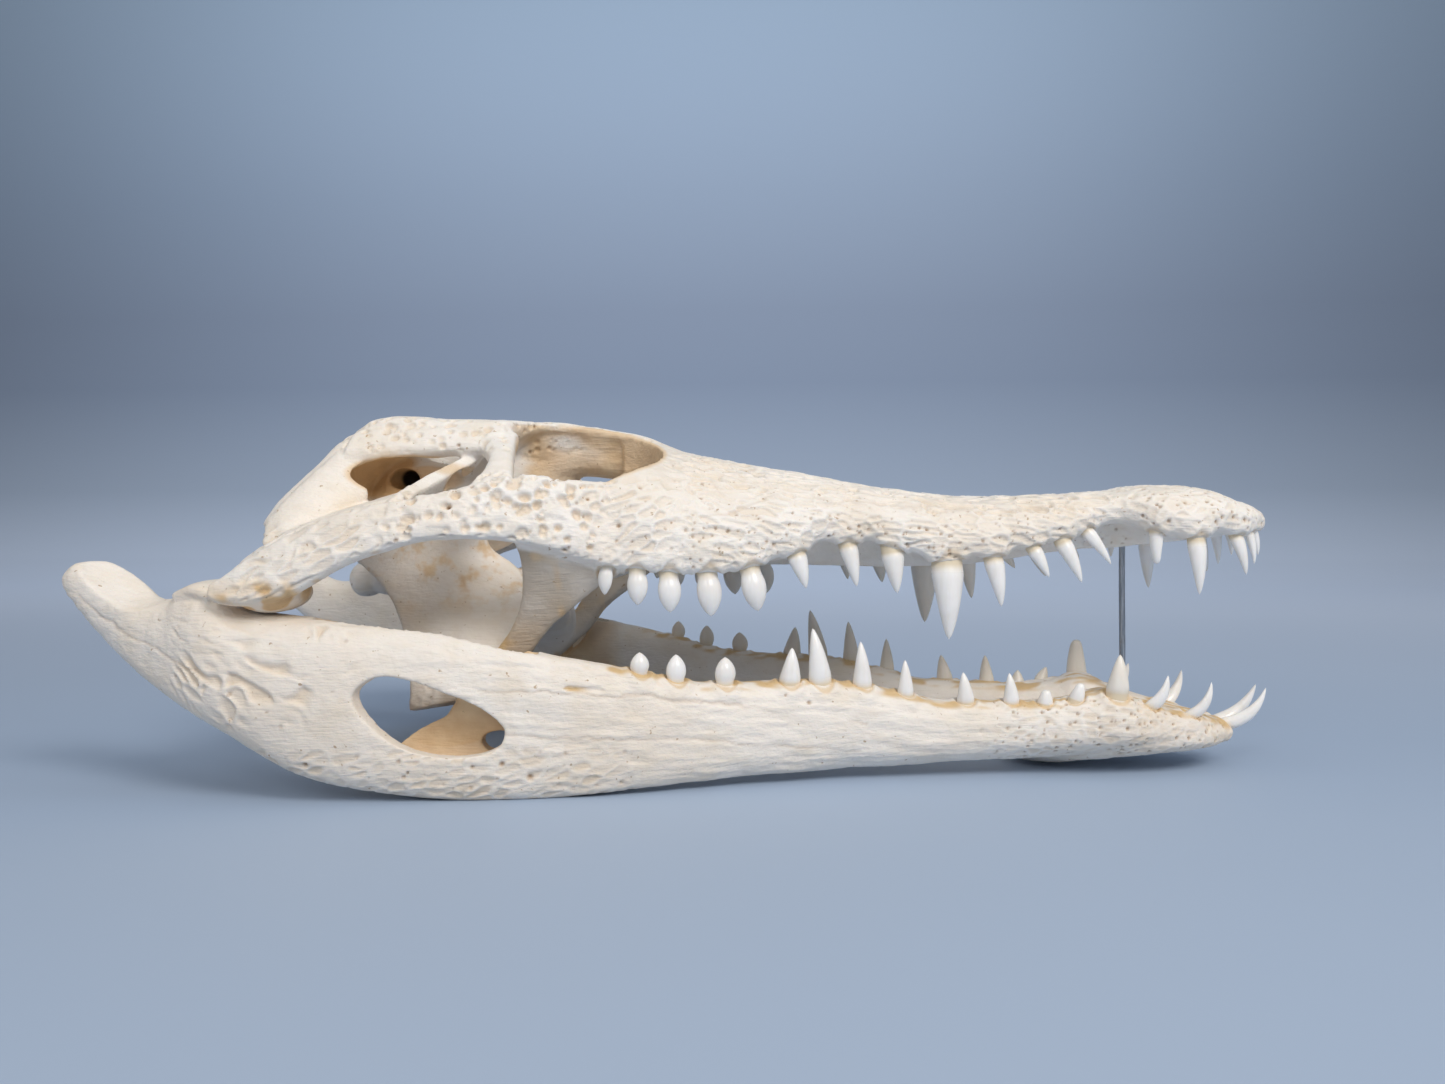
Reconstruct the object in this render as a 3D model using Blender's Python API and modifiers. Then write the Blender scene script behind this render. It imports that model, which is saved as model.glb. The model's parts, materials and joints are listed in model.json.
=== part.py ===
"""A crocodile skull that rests on its lower jaw, with the mouth held open by a thin rod.

The frame is the skull as it lies on a table: +X runs to the snout, +Z up, and y = 0 is the
plane between its two sides. The animal's right side is at -Y. The tables hold millimetres. Their
heights are from the table's surface, and their x is from a line across the skull a little in
front of its middle, so each finished node moves forwards by FORWARD to centre the whole.
"""

import math
import random

import bmesh
import bpy
from mathutils import Matrix, Vector

MM = 0.001
GAP = 0.3
FORWARD = 33.2
SIDES = (("right", -1), ("left", 1))

# How finely each node is worked and how many triangles its bone keeps.
VOXEL = 1.5
SMOOTHING = 7
CRANIUM_TRIANGLES = 7000
RAMUS_TRIANGLES = 2100
RINGS_A_SPAN = 4
PLATE_POINTS = 20
DOME_STEPS = 12

# Snout: x, half width, height of the top, height of the tooth margin, height of the palate.
SNOUT = (
    (157.5, 4.0, 83.4, 80.6, 81.2),
    (156.0, 8.0, 85.5, 80.4, 80.8),
    (152.0, 13.5, 88.0, 79.8, 80.0),
    (148.5, 16.9, 89.5, 79.6, 79.4),
    (144.5, 19.6, 91.0, 77.9, 78.6),
    (140.5, 21.9, 92.7, 79.2, 77.8),
    (135.5, 24.2, 94.2, 79.6, 77.0),
    (129.0, 25.9, 95.4, 76.6, 76.4),
    (122.5, 26.3, 95.9, 78.2, 75.6),
    (115.8, 25.2, 95.7, 78.9, 75.0),
    (111.0, 22.5, 94.9, 81.2, 74.6),
    (105.0, 20.3, 93.8, 82.3, 74.2),
    (99.5, 20.6, 93.1, 81.2, 73.9),
    (94.6, 22.4, 92.6, 79.6, 73.6),
    (91.0, 23.8, 92.3, 78.2, 73.2),
    (86.6, 25.4, 92.0, 76.0, 72.8),
    (82.2, 26.8, 91.8, 76.3, 72.2),
    (77.0, 28.3, 91.6, 73.8, 71.5),
    (70.8, 30.2, 91.4, 74.2, 70.6),
    (64.0, 32.0, 91.4, 70.6, 69.8),
    (56.8, 33.9, 91.7, 71.6, 69.0),
    (48.0, 35.5, 92.3, 69.0, 68.4),
    (42.5, 36.0, 92.9, 69.8, 68.2),
    (37.0, 36.2, 93.7, 72.9, 68.0),
    (31.0, 36.4, 94.4, 72.9, 68.0),
    (23.0, 37.0, 95.4, 76.8, 68.2),
    (16.3, 38.6, 96.6, 74.9, 68.2),
    (7.8, 41.3, 98.2, 76.4, 68.2),
    (0.6, 44.7, 99.7, 71.9, 68.2),
    (-6.0, 47.4, 100.8, 71.4, 68.2),
    (-14.0, 50.0, 102.0, 68.0, 68.4),
    (-27.0, 54.0, 104.2, 67.0, 69.6),
    (-38.0, 57.5, 107.0, 66.7, 70.0),
    (-47.0, 60.0, 110.2, 67.8, 70.5),
    (-54.0, 60.6, 112.0, 68.6, 70.8),
    (-60.0, 59.4, 113.0, 69.8, 71.6),
)
DOME_POWER = 2.25
SIDE_RISE = 5.0
MARGIN_WIDTH = 10.0

# Roof of the skull behind the snout: x, half width, height of the top, thickness.
ROOF = (
    (-30.0, 26.0, 104.2, 10.0),
    (-44.0, 18.0, 109.0, 6.0),
    (-54.0, 13.0, 112.8, 3.8),
    (-66.0, 11.6, 115.2, 3.6),
    (-76.0, 13.0, 116.6, 3.6),
    (-82.0, 16.0, 117.3, 4.0),
    (-88.0, 21.0, 117.4, 5.0),
    (-92.0, 30.0, 117.2, 7.5),
    (-97.0, 35.5, 117.0, 10.0),
    (-114.0, 37.0, 117.3, 10.5),
    (-129.0, 39.5, 118.3, 10.5),
    (-138.0, 40.5, 116.8, 10.0),
    (-144.0, 38.0, 113.5, 8.5),
)
# Keel under the roof between the eye sockets: x, half width, top, bottom. Its section is half
# of an outline, as shares of the half width and of the height.
KEEL = (
    (-28.0, 24.0, 102.0, 90.0),
    (-42.0, 17.5, 106.5, 95.5),
    (-52.0, 13.0, 110.0, 98.0),
    (-65.0, 11.4, 113.0, 98.6),
    (-76.0, 12.6, 114.4, 99.4),
    (-83.0, 15.5, 115.0, 96.0),
    (-90.0, 18.8, 114.8, 90.0),
    (-97.0, 21.5, 114.6, 85.0),
    (-104.0, 23.5, 114.4, 81.0),
)
KEEL_SECTION = (
    (0.0, 1.0),
    (0.8, 1.0),
    (0.95, 0.93),
    (0.84, 0.76),
    (0.76, 0.55),
    (0.74, 0.36),
    (0.66, 0.18),
    (0.45, 0.05),
    (0.15, 0.0),
)
# Braincase: x, half width, top, bottom.
BRAINCASE = (
    (-78.0, 6.0, 112.0, 98.0),
    (-84.0, 11.0, 113.0, 89.0),
    (-92.0, 17.0, 114.0, 82.0),
    (-102.0, 23.0, 114.5, 76.0),
    (-112.0, 27.5, 115.0, 71.0),
    (-122.0, 30.5, 115.0, 67.0),
    (-136.0, 31.5, 114.5, 64.0),
    (-148.0, 27.0, 110.0, 62.0),
)
# Floor of the braincase, down to the pterygoid bones: x, half width, top, bottom.
SKULL_BASE = (
    (-150.0, 7.0, 72.0, 58.0),
    (-138.0, 10.0, 74.0, 53.0),
    (-122.0, 12.0, 75.0, 49.0),
    (-110.0, 13.0, 69.0, 49.0),
    (-98.0, 13.5, 66.5, 52.0),
    (-84.0, 12.0, 67.0, 57.5),
)
# Bar of the palate between its two long openings: x, half width, top, bottom.
PALATINE = (
    (18.0, 13.0, 86.0, 68.4),
    (0.0, 10.5, 82.0, 68.2),
    (-22.0, 9.0, 79.0, 67.8),
    (-46.0, 9.0, 76.0, 67.0),
    (-70.0, 11.0, 72.0, 61.5),
    (-92.0, 13.0, 67.0, 54.5),
)
# Occipital wall: height, x, half width, thickness.
OCCIPUT = (
    (113.0, -140.0, 36.0, 8.0),
    (100.0, -145.0, 34.0, 9.0),
    (88.0, -148.0, 38.0, 9.0),
    (78.0, -150.0, 34.0, 9.0),
    (68.0, -149.0, 16.0, 10.0),
)

# Plates of bone, from one edge to the other: first edge, second edge, thickness.
# They are for the side y > 0, and the other side is their mirror image.
CHEEK = (
    ((-28, 33.0, 92.0), (-28, 47.0, 70.0), 5.0),
    ((-48, 48.0, 94.5), (-48, 57.5, 68.5), 7.0),
    ((-60, 54.0, 94.5), (-60, 61.0, 69.8), 6.8),
    ((-71, 58.0, 95.5), (-71, 64.5, 73.2), 6.8),
    ((-80, 61.5, 96.3), (-80, 67.5, 75.6), 6.8),
    ((-88, 64.0, 95.5), (-88, 69.8, 76.8), 6.8),
    ((-97, 67.0, 92.4), (-97, 72.3, 77.2), 6.8),
    ((-108, 69.5, 89.6), (-108, 74.7, 76.6), 6.8),
    ((-118, 71.2, 87.8), (-118, 76.4, 74.0), 7.0),
    ((-128, 72.0, 86.0), (-128, 77.8, 70.6), 7.4),
    ((-138, 72.5, 82.6), (-137, 78.6, 66.0), 7.8),
    ((-147, 74.0, 78.2), (-146, 79.0, 61.0), 8.0),
    ((-156, 75.5, 73.0), (-155, 79.2, 58.6), 7.8),
    ((-163, 77.0, 68.2), (-162.5, 79.6, 58.0), 7.0),
    ((-169.5, 78.2, 64.4), (-169.5, 79.6, 59.6), 5.0),
)
POSTORBITAL = (
    ((-91, 31.0, 110.0), (-108, 34.5, 109.0), 7.0),
    ((-90, 40.0, 105.5), (-100.5, 41.5, 105.0), 6.5),
    ((-87.5, 51.0, 99.5), (-95.5, 52.0, 99.0), 6.5),
    ((-84, 64.0, 91.0), (-99, 68.0, 88.0), 6.5),
)
TABLE_SHELF = (
    ((-95, 33.0, 113.0), (-95, 38.0, 104.0), 6.0),
    ((-108, 34.5, 113.0), (-108, 40.5, 104.4), 6.5),
    ((-122, 36.0, 113.0), (-123, 42.5, 103.4), 7.0),
    ((-134, 37.0, 112.5), (-135, 44.5, 101.8), 7.5),
    ((-142, 38.0, 110.5), (-143, 47.0, 101.5), 7.5),
)
QUADRATE = (
    ((-101, 32.0, 107.0), (-118, 65.0, 90.5), 4.0),
    ((-112, 28.0, 98.0), (-121, 71.0, 86.0), 5.5),
    ((-128, 28.0, 90.0), (-129, 72.0, 83.0), 7.5),
    ((-140, 33.0, 85.0), (-139, 74.0, 78.0), 10.0),
    ((-150, 43.0, 78.0), (-149, 77.0, 71.5), 13.0),
    ((-158, 51.0, 69.0), (-157, 79.0, 66.0), 14.0),
    ((-164, 55.0, 63.0), (-164, 78.5, 63.0), 9.0),
)
SQUAMOSAL = (
    ((-132, 39.5, 113.5), (-134, 20.0, 106.0), 8.0),
    ((-143, 43.0, 109.0), (-144, 22.0, 94.0), 8.0),
    ((-152, 49.0, 99.3), (-148, 30.0, 85.0), 8.0),
    ((-160, 55.5, 88.8), (-153, 40.0, 78.5), 8.0),
    ((-164, 58.5, 81.8), (-157, 49.0, 75.5), 6.5),
)
EAR_BACK = (
    ((-142, 42.5, 109.0), (-136, 46.0, 90.0), 6.0),
    ((-151, 48.5, 99.5), (-144, 56.0, 84.0), 6.0),
    ((-158, 55.0, 89.0), (-152, 65.0, 77.0), 6.0),
    ((-162, 58.0, 82.0), (-157, 69.0, 71.0), 6.0),
)
PTERYGOID = (
    ((-141, 58.0, 77.0), (-105, 28.0, 87.0), 4.5),
    ((-138, 48.0, 69.5), (-104, 22.0, 76.0), 4.5),
    ((-134, 40.0, 61.5), (-94, 21.0, 67.0), 4.5),
    ((-131, 36.0, 53.0), (-88, 27.0, 57.0), 5.0),
    ((-127, 38.5, 43.5), (-87, 38.0, 46.0), 5.0),
    ((-123.5, 43.5, 33.0), (-91, 44.0, 36.0), 5.5),
    ((-122.5, 46.5, 22.5), (-103, 47.0, 26.0), 6.0),
)
PTERYGOID_FLOOR = (
    ((-129, 0.0, 52.0), (-86, 0.0, 58.0), 6.0),
    ((-131, 16.0, 50.5), (-86, 16.0, 55.0), 5.5),
    ((-129, 31.0, 45.5), (-88, 31.0, 48.0), 5.0),
    ((-124, 42.0, 36.5), (-92, 42.0, 38.5), 4.5),
)
ECTOPTERYGOID = (
    ((-85, 68.0, 80.0), (-42, 54.0, 71.0), 5.0),
    ((-83, 61.0, 71.0), (-55, 54.0, 66.5), 5.0),
    ((-84, 55.0, 61.0), (-67, 51.0, 58.0), 5.5),
    ((-88, 50.0, 51.0), (-77, 48.0, 49.5), 6.0),
    ((-96, 47.5, 40.0), (-84, 46.5, 40.0), 6.5),
    ((-107, 47.5, 29.0), (-96, 47.0, 29.5), 6.5),
)
PREFRONTAL = (
    ((-40, 12.0, 104.0), (-54, 9.0, 106.0), 5.0),
    ((-40, 10.0, 95.0), (-54, 8.0, 95.0), 4.5),
    ((-40, 9.0, 84.0), (-56, 8.0, 84.0), 4.5),
    ((-40, 7.0, 74.0), (-60, 7.0, 74.0), 5.0),
)
CONDYLE_CENTRE, CONDYLE_RADII = (-156.0, 68.0, 61.6), (10.8, 12.5, 6.2)
OCCIPITAL_CONDYLE, OCCIPITAL_RADIUS = (-155.5, 0.0, 62.5), 6.6
OCCIPITAL_NECK, OCCIPITAL_NECK_RADII = (-147.0, 0.0, 63.5), (9.0, 7.0, 7.0)

# Openings of the upper skull, as rounded cutters: centre, half sizes, turn about Z in degrees.
ORBIT_CUT = ((-67.0, 32.2, 103.0), (23.5, 22.7, 30.0), -12.0)
ORBIT_DEEP_CUT = ((-62.0, 28.0, 90.0), (30.0, 22.0, 15.5), -10.0)
PALATE_CUT = ((-38.0, 29.5, 72.0), (46.0, 14.5, 14.0), -19.0)
NASAL_CUT = ((-36.0, 27.0, 85.0), (30.0, 13.0, 9.0), -19.0)
TEMPORAL_CUT = ((-117.0, 20.0, 112.0), (11.0, 8.0, 16.0), -8.0)
NARIS_CUT = ((124.0, 0.0, 97.5), (12.5, 9.0, 9.0), 0.0)
INCISIVE_CUT = ((140.0, 0.0, 77.0), (5.0, 3.4, 6.0), 0.0)
SPINAL_CUT = ((-152.0, 0.0, 76.0), (14.0, 6.2, 5.4), 0.0)
CHOANA_CUT = ((-117.0, 0.0, 47.0), (6.0, 7.5, 6.0), 0.0)
# The left side is open where the photo looks through under its cheek.
LEFT_WINDOW_CUT = ((-111.0, 27.0, 70.6), (9.5, 13.0, 5.4), 0.0)
EAR_CUT = ((-131.0, 28.0, 97.0), (4.6, 9.0, 3.6), 0.0)
EAR_POCKET_CUT = ((-124.0, 40.0, 97.5), (20.0, 13.5, 6.2), -10.0)

# Lower jaw: x, outer half width, width of the bone, height of the top, height of the bottom.
RAMUS = (
    (146.0, 5.0, 8.0, 14.8, 9.6),
    (141.0, 11.0, 14.0, 17.0, 6.7),
    (132.0, 17.5, 19.0, 19.2, 6.2),
    (121.0, 22.5, 22.0, 22.0, 5.6),
    (112.0, 25.8, 24.5, 24.6, 5.1),
    (106.0, 28.0, 25.0, 27.6, 4.9),
    (101.0, 28.2, 25.0, 28.2, 4.7),
    (92.0, 27.6, 21.0, 25.8, 4.4),
    (84.0, 27.8, 18.0, 24.6, 4.2),
    (78.0, 28.2, 17.0, 24.2, 4.1),
    (64.0, 30.0, 16.0, 24.6, 3.7),
    (48.0, 32.5, 16.0, 25.0, 3.2),
    (33.0, 35.2, 16.0, 28.0, 2.6),
    (16.0, 38.8, 16.0, 31.2, 2.3),
    (-2.0, 44.0, 16.0, 32.4, 1.9),
    (-20.0, 50.0, 15.5, 32.4, 1.9),
    (-34.0, 55.4, 15.0, 33.6, 1.8),
    (-47.0, 60.0, 15.0, 36.8, 1.1),
    (-59.0, 63.5, 15.0, 39.4, 0.3),
    (-70.0, 66.2, 15.5, 41.8, -0.5),
    (-82.0, 69.0, 17.0, 44.8, -1.1),
    (-94.0, 71.6, 19.0, 48.0, -1.1),
    (-107.0, 74.4, 21.5, 51.0, -0.2),
    (-120.0, 77.0, 22.5, 52.6, 1.5),
    (-133.0, 79.3, 23.0, 53.6, 4.0),
    (-146.0, 80.8, 24.0, 54.4, 7.8),
    (-158.0, 81.4, 29.0, 55.4, 13.4),
    (-165.0, 81.0, 30.0, 57.0, 17.2),
    (-170.5, 80.4, 30.0, 62.6, 20.0),
    (-176.0, 79.2, 28.5, 64.4, 23.0),
    (-182.0, 77.2, 25.0, 63.4, 26.2),
    (-188.0, 75.2, 21.0, 59.2, 29.6),
    (-194.0, 73.2, 18.0, 59.0, 33.0),
    (-200.0, 71.6, 16.5, 63.0, 37.0),
    (-207.0, 69.8, 15.5, 67.8, 42.6),
    (-215.0, 68.2, 14.5, 70.8, 50.2),
    (-221.0, 67.0, 12.0, 70.4, 57.0),
    (-224.6, 65.4, 7.0, 67.2, 61.4),
)
RAMUS_POWER = 2.7
# Towards the front the lower edge rises outwards, by so much, from the first x to the second.
TUCK, TUCK_FROM, TUCK_TO = 5.0, -60.0, 40.0
# Front of the jaw, where the two sides meet: x, half width, top, bottom.
SYMPHYSIS = (
    (146.5, 6.0, 13.8, 9.4),
    (141.0, 12.0, 16.0, 7.6),
    (130.0, 19.0, 18.0, 6.0),
    (116.0, 23.0, 20.0, 4.6),
    (104.0, 24.0, 20.8, 3.4),
    (94.0, 20.5, 19.6, 2.0),
    (86.0, 15.0, 17.4, 0.8),
    (79.0, 9.5, 14.0, 0.7),
    (73.0, 4.5, 10.0, 3.0),
)
POSTGLENOID = (
    ((-170.5, 50.0, 60.4), (-170.5, 78.0, 60.4), 5.0),
    ((-176, 51.0, 62.0), (-176, 77.0, 62.0), 6.0),
    ((-184, 53.0, 58.6), (-184, 74.0, 59.4), 6.0),
)
CORONOID = (
    ((-107, 57.5, 23.0), (-96, 56.5, 24.0), 3.2),
    ((-101, 57.0, 33.0), (-92, 56.0, 34.0), 3.2),
    ((-92, 58.0, 44.0), (-82, 57.0, 42.0), 3.6),
)
GLENOID_CUT = ((-158.0, 67.0, 63.5), (10.0, 20.0, 8.0), 0.0)
# Opening in the outer wall, as x and z round its rim, and how far in its cutter reaches.
FENESTRA = (
    (-127.5, 31.0),
    (-125.0, 35.4),
    (-118.5, 37.6),
    (-107.0, 34.6),
    (-95.1, 29.4),
    (-87.0, 23.6),
    (-85.6, 19.0),
    (-88.5, 15.6),
    (-97.5, 13.6),
    (-111.9, 15.8),
    (-122.2, 23.0),
)
FENESTRA_IN, FENESTRA_OUT = 63.0, 92.0
INNER_HOLE_CUT = ((-90.5, 55.0, 15.8), (5.5, 9.0, 3.4), 0.0)
# Hollow for the jaw muscle: edges of the trough low and high, width.
TROUGH = (
    ((-78, 59.5, 26.0), (-78, 59.5, 70.0), 5.0),
    ((-88, 61.5, 13.0), (-88, 61.0, 70.0), 7.5),
    ((-104, 64.0, 9.0), (-104, 62.5, 70.0), 9.0),
    ((-120, 66.5, 10.5), (-120, 64.5, 70.0), 10.0),
    ((-134, 68.5, 17.0), (-134, 66.0, 70.0), 9.5),
    ((-143, 69.5, 30.0), (-143, 67.0, 70.0), 6.0),
)
INNER_WALL_CUT = (
    ((-82, 56.5, 44.0), (-82, 40.0, 90.0), 22.0),
    ((-92, 58.0, 32.0), (-92, 40.0, 90.0), 22.0),
    ((-104, 59.5, 25.0), (-104, 40.0, 90.0), 24.0),
    ((-114, 60.5, 20.0), (-114, 40.0, 90.0), 24.0),
    ((-124, 61.5, 13.5), (-124, 42.0, 90.0), 24.0),
    ((-132, 62.5, 17.0), (-132, 42.0, 90.0), 22.0),
    ((-141, 63.0, 42.0), (-141, 44.0, 90.0), 16.0),
)
SPOON_CUT = (
    ((-219, 57.0, 77.0), (-219, 74.5, 67.6), 4.0),
    ((-213, 57.0, 74.0), (-213, 74.5, 62.6), 5.6),
    ((-206, 57.5, 70.4), (-206, 75.0, 58.6), 6.4),
    ((-199, 58.5, 66.0), (-199, 76.0, 56.6), 6.4),
    ((-192.5, 59.5, 63.0), (-192.5, 78.0, 57.4), 5.0),
    ((-187.5, 60.0, 64.5), (-187.5, 80.0, 60.5), 3.0),
)

# Teeth of the right side: x, distance in from the jaw's outer side, length out of the bone,
# thickness, lean of the tip forwards, lean outwards. Blunt teeth have a waist and a swollen crown.
UPPER_TEETH = (
    (154.6, 3.2, 8.6, 3.2, 1.2, 0.5),
    (151.4, 3.4, 11.0, 3.6, 1.2, 1.0),
    (145.2, 3.6, 12.9, 4.7, 2.6, 1.0),
    (129.0, 3.8, 17.3, 5.7, 0.5, 1.2),
    (114.5, 3.6, 10.2, 4.2, 0.3, 0.8),
    (95.9, 3.2, 13.6, 4.4, 7.4, 1.0),
    (87.6, 3.6, 14.4, 5.5, 5.6, 1.0),
    (77.4, 3.4, 10.2, 4.6, 4.5, 0.8),
    (64.1, 4.2, 15.2, 6.2, 2.2, 1.0),
    (48.6, 5.2, 23.9, 9.7, 0.3, 1.5),
    (30.5, 4.2, 13.1, 6.7, 1.6, 0.8),
    (17.2, 4.0, 13.2, 5.7, 2.7, 0.6),
    (1.5, 4.0, 10.8, 6.0, 2.9, 0.4),
    (-13.3, 4.6, 13.5, 7.4, 2.6, 0.3),
    (-26.3, 4.6, 13.6, 7.3, 1.4, 0.2),
    (-37.8, 4.4, 11.8, 6.7, 0.6, 0.2),
    (-47.7, 4.2, 10.6, 5.9, 0.2, 0.2),
    (-57.6, 1.8, 9.0, 4.4, -0.6, 0.2),
)
LOWER_TEETH = (
    (145.8, 2.8, 18.8, 5.0, 13.8, 0.5),
    (131.6, 4.4, 13.4, 4.4, 6.0, 1.5),
    (116.8, 4.8, 11.8, 4.6, 4.6, 1.5),
    (103.8, 5.4, 12.6, 6.8, 0.8, 0.6),
    (90.6, 5.2, 5.8, 4.6, 1.8, 0.4),
    (80.9, 5.0, 4.6, 4.8, 0.4, 0.4),
    (70.4, 5.4, 10.0, 5.0, -0.8, 0.4),
    (55.6, 5.6, 10.0, 5.4, -1.0, 0.4),
    (36.0, 5.8, 11.6, 5.0, -0.2, 0.3),
    (22.2, 6.0, 14.8, 5.9, -0.6, 0.3),
    (9.2, 6.0, 17.8, 7.0, -2.6, 0.2),
    (-0.6, 6.0, 11.2, 6.5, 0.8, 0.2),
    (-20.4, 6.0, 8.8, 6.3, 0.0, 0.2),
    (-35.1, 6.0, 8.8, 5.9, 0.0, 0.2),
    (-46.0, 6.0, 7.0, 5.5, 0.0, 0.2),
)
BLUNT_FROM_UPPER, BLUNT_FROM_LOWER = 13, 12
TOOTH_ROOT = 4.5
TOOTH_SIDES = 6
SHARP_PROFILE = ((0.0, 1.0), (0.25, 0.93), (0.55, 0.7), (0.82, 0.4))
BLUNT_PROFILE = ((0.0, 0.92), (0.2, 0.86), (0.5, 1.0), (0.8, 0.7))
LEFT_SPREAD = 0.09

# Rod that keeps the mouth open.
ROD_X, ROD_RADIUS, ROD_LOW, ROD_HIGH = 112.0, 1.15, 14.0, 85.0

MATERIALS = {
    "bone": ((0.83, 0.78, 0.68), 0.55, 0.0),
    "rod": ((0.42, 0.44, 0.47), 0.3, 1.0),
}


def clear_scene():
    for obj in list(bpy.data.objects):
        bpy.data.objects.remove(obj)


def new_collection(name, hidden=False):
    made = bpy.data.collections.new(name)
    bpy.context.scene.collection.children.link(made)
    made.hide_render = hidden
    return made


def material(name):
    colour, roughness, metallic = MATERIALS[name]
    made = bpy.data.materials.get(name) or bpy.data.materials.new(name)
    made.use_nodes = True
    shader = made.node_tree.nodes["Principled BSDF"]
    shader.inputs["Base Color"].default_value = (*colour, 1.0)
    shader.inputs["Roughness"].default_value = roughness
    shader.inputs["Metallic"].default_value = metallic
    return made


def at(rows, x):
    """The columns of a table at x, on a smooth line through its rows that never overshoots."""
    rows = sorted(rows)
    i = max(0, min(len(rows) - 2, sum(row[0] <= x for row in rows) - 1))
    low, high = rows[i], rows[i + 1]
    span = high[0] - low[0]
    t = min(1.0, max(0.0, (x - low[0]) / span))

    def slope(k, column):
        if k in (0, len(rows) - 1):
            return 0.0
        before = (rows[k][column] - rows[k - 1][column]) / (rows[k][0] - rows[k - 1][0])
        after = (rows[k + 1][column] - rows[k][column]) / (rows[k + 1][0] - rows[k][0])
        if before * after <= 0:
            return 0.0
        return 2 * before * after / (before + after)

    values = []
    for column in range(1, len(low)):
        start, end = slope(i, column) * span, slope(i + 1, column) * span
        values.append(
            (2 * t**3 - 3 * t**2 + 1) * low[column]
            + (t**3 - 2 * t**2 + t) * start
            + (3 * t**2 - 2 * t**3) * high[column]
            + (t**3 - t**2) * end
        )
    return values


def spread(rows, step):
    """Places along x from the first row of a table to its last, about a step apart."""
    first, last = rows[0][0], rows[-1][0]
    count = max(2, round(abs(last - first) / step))
    return [first + (last - first) * i / count for i in range(count + 1)]


def power(value, exponent):
    return math.copysign(abs(value) ** exponent, value)


def loft(name, sections, collection, side=1):
    """A closed body through sections, lists of as many points in millimetres each."""
    mesh = bmesh.new()
    rings = []
    for section in sections:
        rings.append([mesh.verts.new((x * MM, y * side * MM, z * MM)) for x, y, z in section])
    for first, second in zip(rings, rings[1:]):
        for i in range(len(first)):
            j = (i + 1) % len(first)
            mesh.faces.new((first[i], first[j], second[j], second[i]))
    for ring in (rings[0], rings[-1]):
        middle = mesh.verts.new(sum((v.co for v in ring), Vector()) / len(ring))
        for i in range(len(ring)):
            mesh.faces.new((ring[i], ring[(i + 1) % len(ring)], middle))
    bmesh.ops.recalc_face_normals(mesh, faces=mesh.faces)
    if mesh.calc_volume(signed=True) < 0:
        bmesh.ops.reverse_faces(mesh, faces=mesh.faces)
    data = bpy.data.meshes.new(name)
    mesh.to_mesh(data)
    mesh.free()
    obj = bpy.data.objects.new(name, data)
    collection.objects.link(obj)
    return obj


def rounded_block(name, rows, collection, exponent=3.0, step=4.0):
    """A body along the middle plane from rows of x, half width, top and bottom."""
    sections = []
    for x in spread(rows, step):
        half, top, bottom = at(rows, x)
        sections.append(oval(x, 0.0, half, (top + bottom) / 2, (top - bottom) / 2, exponent))
    return loft(name, sections, collection)


def keel(collection):
    sections = []
    for x in spread(KEEL, 4.0):
        half, top, bottom = at(KEEL, x)
        side = [(half * u, bottom + (top - bottom) * v) for u, v in KEEL_SECTION]
        ring = [(x, y, z) for y, z in side]
        ring += [(x, -y, z) for y, z in reversed(side[1:])]
        sections.append(ring)
    return loft("keel", sections, collection)


def oval(x, y, half_width, z, half_height, exponent, points=28):
    """A section across X: a rectangle with corners as round as the exponent makes them."""
    section = []
    for i in range(points):
        turn = 2 * math.pi * i / points
        section.append(
            (
                x,
                y + half_width * power(math.cos(turn), 2 / exponent),
                z + half_height * power(math.sin(turn), 2 / exponent),
            )
        )
    return section


def plate(name, rows, collection, side=1, exponent=3.0):
    """A plate or bar of bone through rows of one edge, the other edge and the thickness."""
    table = [(i, *first, *second, thick) for i, (first, second, thick) in enumerate(rows)]
    count = (len(rows) - 1) * RINGS_A_SPAN
    stations = [at(table, i * (len(rows) - 1) / count) for i in range(count + 1)]
    edges = [(Vector(s[0:3]), Vector(s[3:6]), s[6]) for s in stations]
    sections = []
    for i, (first, second, thick) in enumerate(edges):
        before, after = edges[max(0, i - 1)], edges[min(count, i + 1)]
        ahead = (after[0] + after[1] - before[0] - before[1]).normalized()
        across = (second - first) / 2
        normal = across.cross(ahead).normalized() * thick / 2
        centre = (first + second) / 2
        ring = []
        for k in range(PLATE_POINTS):
            turn = 2 * math.pi * k / PLATE_POINTS
            ring.append(
                centre
                + across * power(math.cos(turn), 2 / exponent)
                + normal * power(math.sin(turn), 2 / exponent)
            )
        sections.append(ring)
    return loft(name, sections, collection, side)


def ball(name, centre, radii, collection, side=1, turn=0.0, axis="Z", points=24):
    """An ellipsoid, turned in degrees about Z or Y."""
    mesh = bmesh.new()
    bmesh.ops.create_uvsphere(mesh, u_segments=points, v_segments=points // 2, radius=1.0)
    place = Matrix.Translation([c * MM for c in centre])
    turned = Matrix.Rotation(math.radians(turn), 4, axis)
    shape = Matrix.Diagonal([r * MM for r in radii] + [1.0])
    mesh.transform(Matrix.Diagonal((1, side, 1, 1)) @ place @ turned @ shape)
    if side < 0:
        bmesh.ops.reverse_faces(mesh, faces=mesh.faces)
    data = bpy.data.meshes.new(name)
    mesh.to_mesh(data)
    mesh.free()
    obj = bpy.data.objects.new(name, data)
    collection.objects.link(obj)
    return obj


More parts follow.
